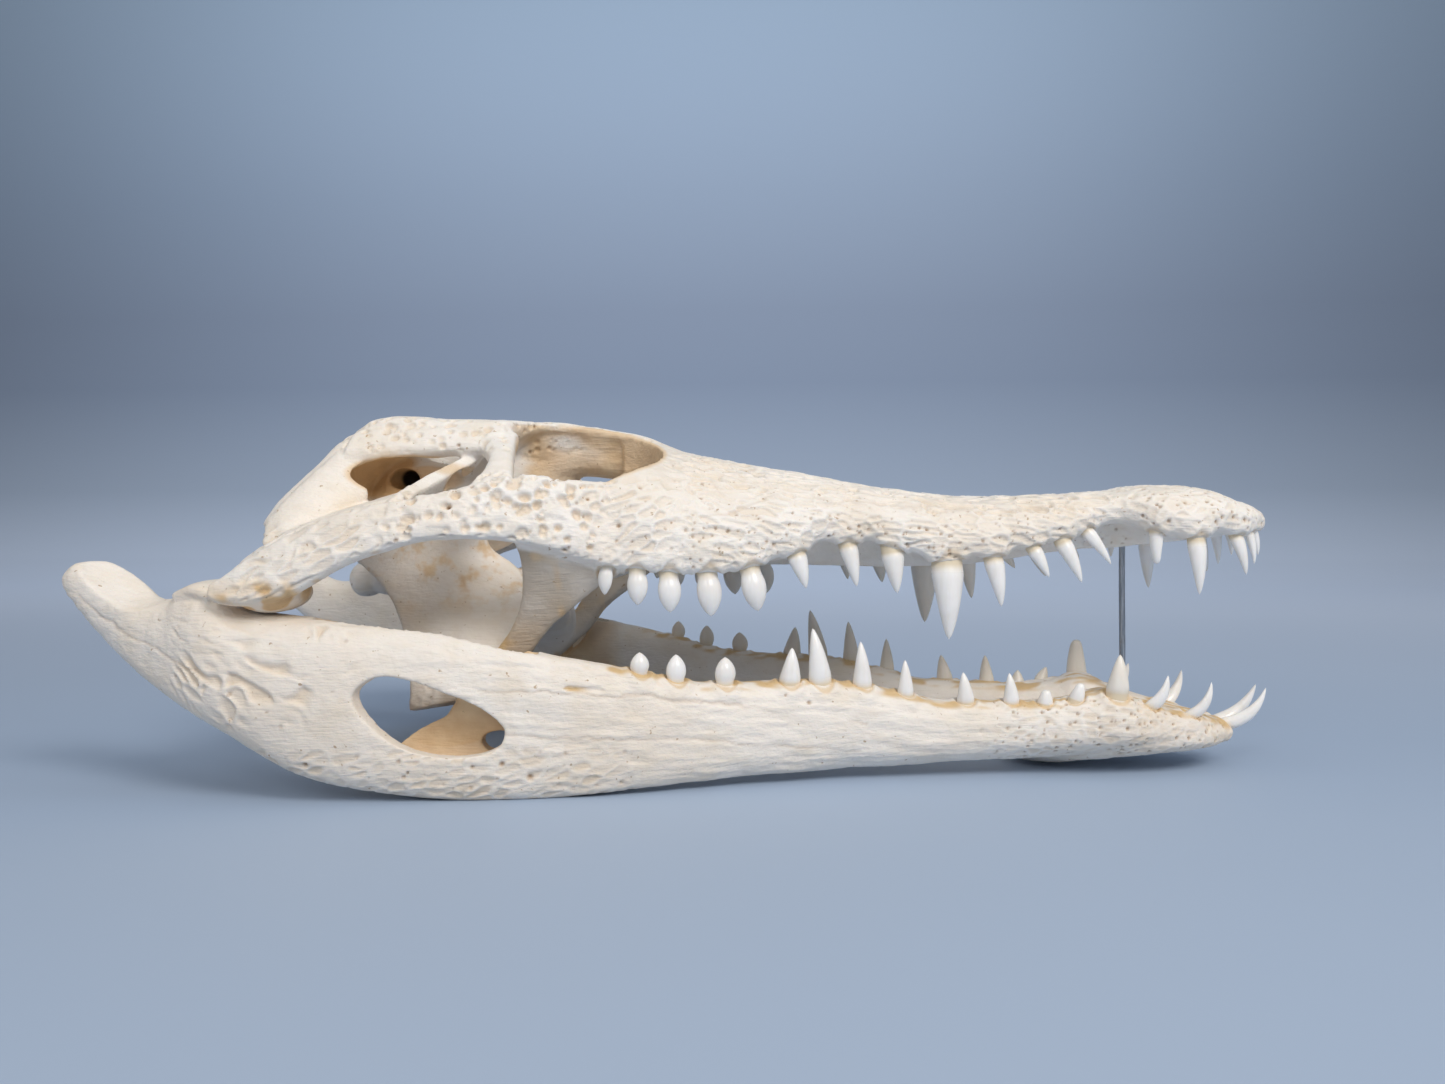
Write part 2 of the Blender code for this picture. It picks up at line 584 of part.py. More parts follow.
def snout(collection):
    sections = []
    for x in spread(SNOUT, 3.0):
        half, top, margin, palate = at(SNOUT, x)
        side = min(margin + SIDE_RISE, top - 2.0)
        arc = []
        for i in range(DOME_STEPS + 1):
            turn = math.pi / 2 * i / DOME_STEPS
            across = half * math.sin(turn) ** (2 / DOME_POWER)
            up = side + (top - side) * max(0.0, math.cos(turn)) ** (2 / DOME_POWER)
            arc.append((across, up))
        inner = max(half - MARGIN_WIDTH, half * 0.45)
        arc += [
            (half - 0.1 * (half - inner), margin + 1.2),
            (half - 0.35 * (half - inner), margin),
            (half - 0.7 * (half - inner), margin + 0.3),
            (inner, max(palate, margin + 1.5) - 0.6),
            (inner * 0.6, palate),
            (0.0, palate + 0.3),
        ]
        ring = [(x, y, z) for y, z in arc]
        ring += [(x, -y, z) for y, z in reversed(arc[1:-1])]
        sections.append(ring)
    return loft("snout", sections, collection)


def skull_roof(collection):
    sections = []
    for x in spread(ROOF, 3.0):
        half, top, thick = at(ROOF, x)
        sections.append(oval(x, 0.0, half, top - thick / 2, thick / 2, 4.5, points=40))
    return loft("skull_roof", sections, collection)


def occiput(collection):
    sections = []
    for height, x, half, thick in OCCIPUT:
        section = oval(0.0, 0.0, half, 0.0, thick / 2, 3.5)
        sections.append([(x + across, y, height) for _, y, across in section])
    return loft("occiput", sections, collection)


def cranium_pieces(collection):
    """The bones of the upper skull, each a closed body that runs into its neighbours."""
    skull_roof(collection)
    keel(collection)
    rounded_block("braincase", BRAINCASE, collection, 2.2)
    rounded_block("skull_base", SKULL_BASE, collection, 2.4)
    rounded_block("palatine", PALATINE, collection, 3.0)
    occiput(collection)
    ball("occipital_condyle", OCCIPITAL_CONDYLE, (OCCIPITAL_RADIUS,) * 3, collection)
    ball("occipital_neck", OCCIPITAL_NECK, OCCIPITAL_NECK_RADII, collection)
    for word, side in SIDES:
        for name, rows in (
            ("cheek", CHEEK),
            ("postorbital", POSTORBITAL),
            ("table_shelf", TABLE_SHELF),
            ("quadrate", QUADRATE),
            ("squamosal", SQUAMOSAL),
            ("ear_back", EAR_BACK),
            ("pterygoid", PTERYGOID),
            ("pterygoid_floor", PTERYGOID_FLOOR),
            ("ectopterygoid", ECTOPTERYGOID),
            ("prefrontal", PREFRONTAL),
        ):
            plate(f"{name}_{word}", rows, collection, side)
        ball(f"condyle_{word}", CONDYLE_CENTRE, CONDYLE_RADII, collection, side)


def snout_cutters(collection):
    """What is cut from the snout before the bones behind it are joined on."""
    for word, side in SIDES:
        for name, (centre, radii, turn) in (
            ("orbit_cut", ORBIT_CUT),
            ("orbit_deep_cut", ORBIT_DEEP_CUT),
            ("palate_cut", PALATE_CUT),
            ("nasal_cut", NASAL_CUT),
        ):
            ball(f"{name}_{word}", centre, radii, collection, side, turn)
    ball("naris_cut", NARIS_CUT[0], NARIS_CUT[1], collection)
    ball("incisive_cut", INCISIVE_CUT[0], INCISIVE_CUT[1], collection)


def cranium_cutters(collection):
    """What is cut from the joined bones."""
    for word, side in SIDES:
        for name, (centre, radii, turn) in (
            ("temporal_cut", TEMPORAL_CUT),
            ("ear_cut", EAR_CUT),
            ("ear_pocket_cut", EAR_POCKET_CUT),
        ):
            ball(f"{name}_{word}", centre, radii, collection, side, turn)
    ball("left_window_cut", LEFT_WINDOW_CUT[0], LEFT_WINDOW_CUT[1], collection)
    ball("spinal_cut", SPINAL_CUT[0], SPINAL_CUT[1], collection)
    ball("choana_cut", CHOANA_CUT[0], CHOANA_CUT[1], collection)


def ramus(collection, side):
    sections = []
    for x in spread(RAMUS, 3.5):
        outer, width, top, bottom = at(RAMUS, x)
        centre, half_height = (top + bottom) / 2, (top - bottom) / 2
        tuck = TUCK * min(1.0, max(0.0, (x - TUCK_FROM) / (TUCK_TO - TUCK_FROM)))
        ring = []
        for _, y, z in oval(x, outer - width / 2, width / 2, centre, half_height, RAMUS_POWER):
            under = max(0.0, (centre - z) / half_height)
            ring.append((x, y, z + tuck * under * (1 - (outer - y) / width) ** 2))
        sections.append(ring)
    return loft("ramus", sections, collection, side)


def rounded(points, steps=3):
    """A closed outline with more points, on a curve through the given ones."""
    curve = []
    for i, here in enumerate(points):
        before, after, last = points[i - 1], points[(i + 1) % len(points)], points[(i + 2) % len(points)]
        for k in range(steps):
            t = k / steps
            curve.append(
                tuple(
                    b + t * (c - a) / 2 + t**2 * (a - 2.5 * b + 2 * c - d / 2)
                    + t**3 * (1.5 * b - 1.5 * c + d / 2 - a / 2)
                    for a, b, c, d in zip(before, here, after, last)
                )
            )
    return curve


def ramus_pieces(collection, side):
    rounded_block("symphysis", SYMPHYSIS, collection, 2.6)
    plate("postglenoid", POSTGLENOID, collection, side)


def ramus_cutters(collection, side):
    ball("glenoid_cut", GLENOID_CUT[0], GLENOID_CUT[1], collection, side)
    rims = [[(x, y, z) for x, z in rounded(FENESTRA)] for y in (FENESTRA_IN, FENESTRA_OUT)]
    loft("fenestra_cut", rims, collection, side)
    ball("inner_hole_cut", INNER_HOLE_CUT[0], INNER_HOLE_CUT[1], collection, side)
    plate("trough_cut", TROUGH, collection, side, 4.0)
    plate("inner_wall_cut", INNER_WALL_CUT, collection, side, 4.0)
    plate("spoon_cut", SPOON_CUT, collection, side, 2.2)


def box(name, low, high, collection):
    mesh = bmesh.new()
    bmesh.ops.create_cube(mesh, size=1.0)
    middle = [(a + b) / 2 * MM for a, b in zip(low, high)]
    sizes = [(b - a) * MM for a, b in zip(low, high)]
    mesh.transform(Matrix.Translation(middle) @ Matrix.Diagonal(sizes + [1.0]))
    data = bpy.data.meshes.new(name)
    mesh.to_mesh(data)
    mesh.free()
    obj = bpy.data.objects.new(name, data)
    collection.objects.link(obj)
    return obj


def tooth(name, root, tip, out, thick, profile, collection):
    """A tooth from its root inside the bone to its tip, bent so that it curves back."""
    root, tip = Vector(root), Vector(tip)
    axis = (tip - root).normalized()
    first = axis.cross(Vector(out)).normalized()
    second = axis.cross(first).normalized()
    length = (tip - root).length
    bow = second * -0.05 * length
    sections = []
    start = root - axis * TOOTH_ROOT
    for share, size in ((None, profile[0][1] * 0.9), *profile):
        along = start if share is None else root + axis * length * share
        bend = bow * (4 * (share or 0.0) * (1 - (share or 0.0)))
        ring = []
        for k in range(TOOTH_SIDES):
            turn = 2 * math.pi * k / TOOTH_SIDES
            spoke = first * math.cos(turn) + second * math.sin(turn)
            ring.append(along + bend + spoke * thick / 2 * size)
        sections.append(ring)
    ring = [tip + (p - along - bend) * 0.12 for p in sections[-1]]
    sections.append(ring)
    return loft(name, sections, collection)


def teeth(jaw, word, side, collection):
    """The teeth of one side of one jaw. The left side's differ a little from the right's."""
    upper = jaw == "upper"
    rows = UPPER_TEETH if upper else LOWER_TEETH
    table, down = (SNOUT, -1) if upper else (RAMUS, 1)
    blunt_from = BLUNT_FROM_UPPER if upper else BLUNT_FROM_LOWER
    chance = random.Random(f"{jaw} {word}")
    for i, (x, inset, length, thick, forward, outward) in enumerate(rows):
        if word == "left":
            x += chance.uniform(-1.0, 1.0)
            length *= 1 + chance.uniform(-LEFT_SPREAD, LEFT_SPREAD)
            forward += chance.uniform(-0.8, 0.8)
        columns = at(table, x)
        edge = columns[2]
        if not upper:
            edge -= 0.8
        # The row turns inwards at the front, so the inset is along the jaw's own normal.
        ahead = at(table, x + 1.0)[0] - at(table, x - 1.0)[0]
        normal = Vector((-ahead, 2.0, 0.0)).normalized()
        base = Vector((x, columns[0], edge)) - normal * inset
        lean = normal * outward + Vector((forward, 0.0, 0.0))
        tip = base + lean + Vector((0.0, 0.0, down * math.sqrt(length**2 - lean.length**2)))
        profile = BLUNT_PROFILE if i >= blunt_from else SHARP_PROFILE
        place = [(p.x, p.y * side, p.z) for p in (base, tip, normal)]
        tooth(f"{jaw}_tooth_{word}_{i + 1}", place[0], place[1], place[2], thick, profile, collection)


def add_boolean(obj, operation, collection):
    modifier = obj.modifiers.new(operation.lower(), "BOOLEAN")
    modifier.operation = operation
    modifier.operand_type = "COLLECTION"
    modifier.collection = collection
    modifier.solver = "MANIFOLD"
    return modifier


def apply_modifiers(obj):
    """Gives the object its evaluated mesh and takes its modifiers away."""
    graph = bpy.context.evaluated_depsgraph_get()
    data = bpy.data.meshes.new_from_object(obj.evaluated_get(graph))
    obj.modifiers.clear()
    obj.data = data


def use(obj, operation, collection):
    """Joins or cuts obj with a collection's objects, and removes them."""
    add_boolean(obj, operation, collection)
    apply_modifiers(obj)
    for used in list(collection.objects):
        bpy.data.objects.remove(used)
    bpy.data.collections.remove(collection)


def keep_largest_body(obj):
    """Drops what a cut left loose, and the inner skin of a hollow that a union sealed."""
    mesh = bmesh.new()
    mesh.from_mesh(obj.data)
    left = set(mesh.faces)
    bodies = []
    while left:
        body, edge = set(), {left.pop()}
        while edge:
            face = edge.pop()
            body.add(face)
            near = {f for e in face.edges for f in e.link_faces if f in left}
            left -= near
            edge |= near
        bodies.append(body)
    bodies.sort(key=lambda body: sum(face.calc_area() for face in body))
    for body in bodies[:-1]:
        bmesh.ops.delete(mesh, geom=list(body), context="FACES")
    loose = [v for v in mesh.verts if not v.link_faces]
    bmesh.ops.delete(mesh, geom=loose, context="VERTS")
    mesh.to_mesh(obj.data)
    mesh.free()


def soften(obj, triangles):
    """Melts the joints between bones into one surface, and thins it to so many triangles."""
    remesh = obj.modifiers.new("melt", "REMESH")
    remesh.mode = "VOXEL"
    remesh.voxel_size = VOXEL * MM
    smooth = obj.modifiers.new("smooth", "SMOOTH")
    smooth.factor = 0.5
    smooth.iterations = SMOOTHING
    apply_modifiers(obj)
    keep_largest_body(obj)
    thin = obj.modifiers.new("thin", "DECIMATE")
    thin.ratio = triangles / sum(len(p.vertices) - 2 for p in obj.data.polygons)
    apply_modifiers(obj)
    keep_largest_body(obj)


def finish(obj, name, slot, collection):
    obj.name = name
    obj.data.name = name
    obj.data.materials.clear()
    obj.data.materials.append(material(slot))
    obj.data.transform(Matrix.Translation((FORWARD * MM, 0, 0)))
    for other in list(obj.users_collection):
        other.objects.unlink(obj)
    collection.objects.link(obj)


def rod_shape(name, collection, grow=0.0):
    """The rod, or with a little growth the cutter of the sockets for its ends."""
    radius, low, high = ROD_RADIUS + grow, ROD_LOW - grow, ROD_HIGH + grow
    mesh = bmesh.new()
    bmesh.ops.create_cone(
        mesh,
        cap_ends=True,
        segments=16,
        radius1=radius * MM,
        radius2=radius * MM,
        depth=(high - low) * MM,
    )
    mesh.transform(Matrix.Translation((ROD_X * MM, 0.0, (high + low) / 2 * MM)))
    data = bpy.data.meshes.new(name)
    mesh.to_mesh(data)
    mesh.free()
    obj = bpy.data.objects.new(name, data)
    collection.objects.link(obj)
    return obj


def build_cranium(skull):
    pieces, first_cut = new_collection("bones"), new_collection("snout_cutters")
    body = snout(skull)
    snout_cutters(first_cut)
    use(body, "DIFFERENCE", first_cut)
    cranium_pieces(pieces)
    use(body, "UNION", pieces)
    second_cut = new_collection("cranium_cutters")
    cranium_cutters(second_cut)
    use(body, "DIFFERENCE", second_cut)
    soften(body, CRANIUM_TRIANGLES)
    rows = new_collection("upper_teeth")
    for word, side in SIDES:
        teeth("upper", word, side, rows)
    use(body, "UNION", rows)
    socket = new_collection("rod_socket")
    rod_shape("socket", socket, GAP)
    use(body, "DIFFERENCE", socket)
    keep_largest_body(body)
    return body


def grown_copy(obj, name, collection):
    """A copy of obj that stands the gap off its surface on all sides."""
    made = bpy.data.objects.new(name, obj.data.copy())
    collection.objects.link(made)
    grow = made.modifiers.new("grow", "DISPLACE")
    grow.mid_level = 0.0
    grow.strength = GAP * MM
    apply_modifiers(made)
    return made


def build_ramus(skull, cranium, word, side):
    pieces, cutters = new_collection("jaw_bones"), new_collection("jaw_cutters")
    body = ramus(skull, side)
    ramus_pieces(pieces, side)
    use(body, "UNION", pieces)
    ramus_cutters(cutters, side)
    use(body, "DIFFERENCE", cutters)
    strut = new_collection("strut")
    plate("coronoid", CORONOID, strut, side)
    use(body, "UNION", strut)
    soften(body, RAMUS_TRIANGLES)
    # The other half of the jaw's front, and what lies under the table's surface, come off.
    halves = new_collection("halves")
    far = -side * 60.0
    near = side * GAP / 2
    box("other_half", (60, min(near, far), -20), (170, max(near, far), 60), halves)
    box("under_table", (-240, -100, -20), (170, 100, 0), halves)
    grown_copy(cranium, "condyle_seat", halves)
    rod_shape("socket", halves, GAP)
    use(body, "DIFFERENCE", halves)
    rows = new_collection("lower_teeth")
    teeth("lower", word, side, rows)
    use(body, "UNION", rows)
    keep_largest_body(body)
    finish(body, f"mandible_{word}", "bone", skull)


def build_rod(skull):
    finish(rod_shape("prop_rod", skull), "prop_rod", "rod", skull)


def main():
    clear_scene()
    skull = new_collection("crocodile_skull")
    cranium = build_cranium(skull)
    for word, side in SIDES:
        build_ramus(skull, cranium, word, side)
    finish(cranium, "cranium", "bone", skull)
    build_rod(skull)


main()
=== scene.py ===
"""A crocodile skull that rests on its lower jaw, with its looks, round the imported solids.

The bones are rebuilt finer from the same named shapes as the solids they replace, and carved with
pits, grooves and sutures. Tables and distances are in millimetres, in the frame of the tables,
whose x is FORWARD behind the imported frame's.
"""

import itertools
import json
import math
import random

import bmesh
import bpy
import numpy as np
from mathutils import Matrix, Vector

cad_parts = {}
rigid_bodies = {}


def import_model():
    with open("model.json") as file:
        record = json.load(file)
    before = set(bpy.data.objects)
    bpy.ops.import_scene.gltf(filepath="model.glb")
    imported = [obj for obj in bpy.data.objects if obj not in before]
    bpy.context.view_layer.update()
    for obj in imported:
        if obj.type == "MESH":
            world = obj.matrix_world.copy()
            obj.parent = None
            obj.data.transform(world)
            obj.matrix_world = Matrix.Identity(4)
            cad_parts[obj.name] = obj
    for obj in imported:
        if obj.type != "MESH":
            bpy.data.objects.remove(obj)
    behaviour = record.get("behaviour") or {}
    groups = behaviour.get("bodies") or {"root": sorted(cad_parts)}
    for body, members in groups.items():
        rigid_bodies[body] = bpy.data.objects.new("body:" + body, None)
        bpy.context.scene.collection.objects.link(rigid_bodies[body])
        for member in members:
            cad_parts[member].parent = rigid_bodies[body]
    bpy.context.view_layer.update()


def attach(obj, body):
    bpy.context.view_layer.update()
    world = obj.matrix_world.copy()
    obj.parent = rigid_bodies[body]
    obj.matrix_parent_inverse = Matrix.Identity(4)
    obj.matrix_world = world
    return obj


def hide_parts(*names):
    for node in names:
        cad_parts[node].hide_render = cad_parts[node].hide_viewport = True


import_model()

MM = 0.001
# Gap between nodes that touch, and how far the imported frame's x is ahead of the tables'.
GAP = 0.3
FORWARD = 33.2
SIDES = (("right", -1), ("left", 1))

# How finely the plain shapes are drawn, before the bones are worked.
RINGS_A_SPAN = 8
PLATE_POINTS = 36
DOME_STEPS = 18
BALL_POINTS = 24

# Snout: x, half width, height of the top, height of the tooth margin, height of the palate.
SNOUT = (
    (157.5, 4, 83.4, 80.6, 81.2), (156, 8, 85.5, 80.4, 80.8), (152, 13.5, 88, 79.8, 80),
    (148.5, 16.9, 89.5, 79.6, 79.4), (144.5, 19.6, 91, 77.9, 78.6), (140.5, 21.9, 92.7, 79.2, 77.8),
    (135.5, 24.2, 94.2, 79.6, 77), (129, 25.9, 95.4, 76.6, 76.4), (122.5, 26.3, 95.9, 78.2, 75.6),
    (115.8, 25.2, 95.7, 78.9, 75), (111, 22.5, 94.9, 81.2, 74.6), (105, 20.3, 93.8, 82.3, 74.2),
    (99.5, 20.6, 93.1, 81.2, 73.9), (94.6, 22.4, 92.6, 79.6, 73.6), (91, 23.8, 92.3, 78.2, 73.2),
    (86.6, 25.4, 92, 76, 72.8), (82.2, 26.8, 91.8, 76.3, 72.2), (77, 28.3, 91.6, 73.8, 71.5),
    (70.8, 30.2, 91.4, 74.2, 70.6), (64, 32, 91.4, 70.6, 69.8), (56.8, 33.9, 91.7, 71.6, 69),
    (48, 35.5, 92.3, 69, 68.4), (42.5, 36, 92.9, 69.8, 68.2), (37, 36.2, 93.7, 72.9, 68),
    (31, 36.4, 94.4, 72.9, 68), (23, 37, 95.4, 76.8, 68.2), (16.3, 38.6, 96.6, 74.9, 68.2),
    (7.8, 41.3, 98.2, 76.4, 68.2), (0.6, 44.7, 99.7, 71.9, 68.2), (-6, 47.4, 100.8, 71.4, 68.2),
    (-14, 50, 102, 68, 68.4), (-27, 54, 104.2, 67, 69.6), (-38, 57.5, 107, 66.7, 70),
    (-47, 60, 110.2, 67.8, 70.5), (-54, 60.6, 112, 68.6, 70.8), (-60, 59.4, 113, 69.8, 71.6),
)
DOME_POWER = 2.25
SIDE_RISE = 5.0
MARGIN_WIDTH = 10.0

# Roof of the skull behind the snout: x, half width, height of the top, thickness.
ROOF = (
    (-30, 26, 104.2, 10), (-44, 18, 109, 6), (-54, 13, 112.8, 3.8), (-66, 11.6, 115.2, 3.6),
    (-76, 13, 116.6, 3.6), (-82, 16, 117.3, 4), (-88, 21, 117.4, 5), (-92, 30, 117.2, 7.5),
    (-97, 35.5, 117, 10), (-114, 37, 117.3, 10.5), (-129, 39.5, 118.3, 10.5),
    (-138, 40.5, 116.8, 10), (-144, 38, 113.5, 8.5),
)
# Keel under the roof between the eye sockets: x, half width, top, bottom. Its section is half
# of an outline, as shares of the half width and of the height.
KEEL = (
    (-28, 24, 102, 90), (-42, 17.5, 106.5, 95.5), (-52, 13, 110, 98), (-65, 11.4, 113, 98.6),
    (-76, 12.6, 114.4, 99.4), (-83, 15.5, 115, 96), (-90, 18.8, 114.8, 90), (-97, 21.5, 114.6, 85),
    (-104, 23.5, 114.4, 81),
)
KEEL_SECTION = (
    (0, 1), (0.8, 1), (0.95, 0.93), (0.84, 0.76), (0.76, 0.55), (0.74, 0.36), (0.66, 0.18),
    (0.45, 0.05), (0.15, 0),
)
# Braincase: x, half width, top, bottom.
BRAINCASE = (
    (-78, 6, 112, 98), (-84, 11, 113, 89), (-92, 17, 114, 82), (-102, 23, 114.5, 76),
    (-112, 27.5, 115, 71), (-122, 30.5, 115, 67), (-136, 31.5, 114.5, 64), (-148, 27, 110, 62),
)
# Floor of the braincase, down to the pterygoid bones: x, half width, top, bottom.
SKULL_BASE = (
    (-150, 7, 72, 58), (-138, 10, 74, 53), (-122, 12, 75, 49), (-110, 13, 69, 49),
    (-98, 13.5, 66.5, 52), (-84, 12, 67, 57.5),
)
# Bar of the palate between its two long openings: x, half width, top, bottom.
PALATINE = (
    (18, 13, 86, 68.4), (0, 10.5, 82, 68.2), (-22, 9, 79, 67.8), (-46, 9, 76, 67),
    (-70, 11, 72, 61.5), (-92, 13, 67, 54.5),
)
# Occipital wall: height, x, half width, thickness.
OCCIPUT = (
    (113, -140, 36, 8), (100, -145, 34, 9), (88, -148, 38, 9), (78, -150, 34, 9),
    (68, -149, 16, 10),
)

# Plates of bone, from one edge to the other: first edge, second edge, thickness.
# They are for the side y > 0, and the other side is their mirror image.
CHEEK = (
    ((-28, 33, 92), (-28, 47, 70), 5), ((-48, 48, 94.5), (-48, 57.5, 68.5), 7),
    ((-60, 54, 94.5), (-60, 61, 69.8), 6.8), ((-71, 58, 95.5), (-71, 64.5, 73.2), 6.8),
    ((-80, 61.5, 96.3), (-80, 67.5, 75.6), 6.8), ((-88, 64, 95.5), (-88, 69.8, 76.8), 6.8),
    ((-97, 67, 92.4), (-97, 72.3, 77.2), 6.8), ((-108, 69.5, 89.6), (-108, 74.7, 76.6), 6.8),
    ((-118, 71.2, 87.8), (-118, 76.4, 74), 7), ((-128, 72, 86), (-128, 77.8, 70.6), 7.4),
    ((-138, 72.5, 82.6), (-137, 78.6, 66), 7.8), ((-147, 74, 78.2), (-146, 79, 61), 8),
    ((-156, 75.5, 73), (-155, 79.2, 58.6), 7.8), ((-163, 77, 68.2), (-162.5, 79.6, 58), 7),
    ((-169.5, 78.2, 64.4), (-169.5, 79.6, 59.6), 5),
)
POSTORBITAL = (
    ((-91, 31, 110), (-108, 34.5, 109), 7), ((-90, 40, 105.5), (-100.5, 41.5, 105), 6.5),
    ((-87.5, 51, 99.5), (-95.5, 52, 99), 6.5), ((-84, 64, 91), (-99, 68, 88), 6.5),
)
TABLE_SHELF = (
    ((-95, 33, 113), (-95, 38, 104), 6), ((-108, 34.5, 113), (-108, 40.5, 104.4), 6.5),
    ((-122, 36, 113), (-123, 42.5, 103.4), 7), ((-134, 37, 112.5), (-135, 44.5, 101.8), 7.5),
    ((-142, 38, 110.5), (-143, 47, 101.5), 7.5),
)
QUADRATE = (
    ((-101, 32, 107), (-118, 65, 90.5), 4), ((-112, 28, 98), (-121, 71, 86), 5.5),
    ((-128, 28, 90), (-129, 72, 83), 7.5), ((-140, 33, 85), (-139, 74, 78), 10),
    ((-150, 43, 78), (-149, 77, 71.5), 13), ((-158, 51, 69), (-157, 79, 66), 14),
    ((-164, 55, 63), (-164, 78.5, 63), 9),
)
SQUAMOSAL = (
    ((-132, 39.5, 113.5), (-134, 20, 106), 8), ((-143, 43, 109), (-144, 22, 94), 8),
    ((-152, 49, 99.3), (-148, 30, 85), 8), ((-160, 55.5, 88.8), (-153, 40, 78.5), 8),
    ((-164, 58.5, 81.8), (-157, 49, 75.5), 6.5),
)
EAR_BACK = (
    ((-142, 42.5, 109), (-136, 46, 90), 6), ((-151, 48.5, 99.5), (-144, 56, 84), 6),
    ((-158, 55, 89), (-152, 65, 77), 6), ((-162, 58, 82), (-157, 69, 71), 6),
)
PTERYGOID = (
    ((-141, 58, 77), (-105, 28, 87), 4.5), ((-138, 48, 69.5), (-104, 22, 76), 4.5),
    ((-134, 40, 61.5), (-94, 21, 67), 4.5), ((-131, 36, 53), (-88, 27, 57), 5),
    ((-127, 38.5, 43.5), (-87, 38, 46), 5), ((-123.5, 43.5, 33), (-91, 44, 36), 5.5),
    ((-122.5, 46.5, 22.5), (-103, 47, 26), 6),
)
PTERYGOID_FLOOR = (
    ((-129, 0, 52), (-86, 0, 58), 6), ((-131, 16, 50.5), (-86, 16, 55), 5.5),
    ((-129, 31, 45.5), (-88, 31, 48), 5), ((-124, 42, 36.5), (-92, 42, 38.5), 4.5),
)
ECTOPTERYGOID = (
    ((-85, 68, 80), (-42, 54, 71), 5), ((-83, 61, 71), (-55, 54, 66.5), 5),
    ((-84, 55, 61), (-67, 51, 58), 5.5), ((-88, 50, 51), (-77, 48, 49.5), 6),
    ((-96, 47.5, 40), (-84, 46.5, 40), 6.5), ((-107, 47.5, 29), (-96, 47, 29.5), 6.5),
)
PREFRONTAL = (
    ((-40, 12, 104), (-54, 9, 106), 5), ((-40, 10, 95), (-54, 8, 95), 4.5),
    ((-40, 9, 84), (-56, 8, 84), 4.5), ((-40, 7, 74), (-60, 7, 74), 5),
)
CONDYLE_CENTRE, CONDYLE_RADII = (-156.0, 68.0, 61.6), (10.8, 12.5, 6.2)
OCCIPITAL_CONDYLE, OCCIPITAL_RADIUS = (-155.5, 0.0, 62.5), 6.6
OCCIPITAL_NECK, OCCIPITAL_NECK_RADII = (-147.0, 0.0, 63.5), (9.0, 7.0, 7.0)

# Openings of the upper skull, as rounded cutters: centre, half sizes, turn about Z in degrees.
ORBIT_CUT = ((-67.0, 32.2, 103.0), (23.5, 22.7, 30.0), -12.0)
ORBIT_DEEP_CUT = ((-62.0, 28.0, 90.0), (30.0, 22.0, 15.5), -10.0)
PALATE_CUT = ((-38.0, 29.5, 72.0), (46.0, 14.5, 14.0), -19.0)
NASAL_CUT = ((-36.0, 27.0, 85.0), (30.0, 13.0, 9.0), -19.0)
TEMPORAL_CUT = ((-117.0, 20.0, 112.0), (11.0, 8.0, 16.0), -8.0)
NARIS_CUT = ((124.0, 0.0, 97.5), (12.5, 9.0, 9.0), 0.0)
INCISIVE_CUT = ((140.0, 0.0, 77.0), (5.0, 3.4, 6.0), 0.0)
SPINAL_CUT = ((-152.0, 0.0, 76.0), (14.0, 6.2, 5.4), 0.0)
CHOANA_CUT = ((-117.0, 0.0, 47.0), (6.0, 7.5, 6.0), 0.0)
# The left side is open where the photo looks through under its cheek.
LEFT_WINDOW_CUT = ((-111.0, 27.0, 70.6), (9.5, 13.0, 5.4), 0.0)
EAR_CUT = ((-131.0, 28.0, 97.0), (4.6, 9.0, 3.6), 0.0)
EAR_POCKET_CUT = ((-124.0, 40.0, 97.5), (20.0, 13.5, 6.2), -10.0)

# Lower jaw: x, outer half width, width of the bone, height of the top, height of the bottom.
RAMUS = (
    (146, 5, 8, 14.8, 9.6), (141, 11, 14, 17, 6.7), (132, 17.5, 19, 19.2, 6.2),
    (121, 22.5, 22, 22, 5.6), (112, 25.8, 24.5, 24.6, 5.1), (106, 28, 25, 27.6, 4.9),
    (101, 28.2, 25, 28.2, 4.7), (92, 27.6, 21, 25.8, 4.4), (84, 27.8, 18, 24.6, 4.2),
    (78, 28.2, 17, 24.2, 4.1), (64, 30, 16, 24.6, 3.7), (48, 32.5, 16, 25, 3.2),
    (33, 35.2, 16, 28, 2.6), (16, 38.8, 16, 31.2, 2.3), (-2, 44, 16, 32.4, 1.9),
    (-20, 50, 15.5, 32.4, 1.9), (-34, 55.4, 15, 33.6, 1.8), (-47, 60, 15, 36.8, 1.1),
    (-59, 63.5, 15, 39.4, 0.3), (-70, 66.2, 15.5, 41.8, -0.5), (-82, 69, 17, 44.8, -1.1),
    (-94, 71.6, 19, 48, -1.1), (-107, 74.4, 21.5, 51, -0.2), (-120, 77, 22.5, 52.6, 1.5),
    (-133, 79.3, 23, 53.6, 4), (-146, 80.8, 24, 54.4, 7.8), (-158, 81.4, 29, 55.4, 13.4),
    (-165, 81, 30, 57, 17.2), (-170.5, 80.4, 30, 62.6, 20), (-176, 79.2, 28.5, 64.4, 23),
    (-182, 77.2, 25, 63.4, 26.2), (-188, 75.2, 21, 59.2, 29.6), (-194, 73.2, 18, 59, 33),
    (-200, 71.6, 16.5, 63, 37), (-207, 69.8, 15.5, 67.8, 42.6), (-215, 68.2, 14.5, 70.8, 50.2),
    (-221, 67, 12, 70.4, 57), (-224.6, 65.4, 7, 67.2, 61.4),
)
RAMUS_POWER = 2.7
# Towards the front the lower edge rises outwards, by so much, from the first x to the second.
TUCK, TUCK_FROM, TUCK_TO = 5.0, -60.0, 40.0
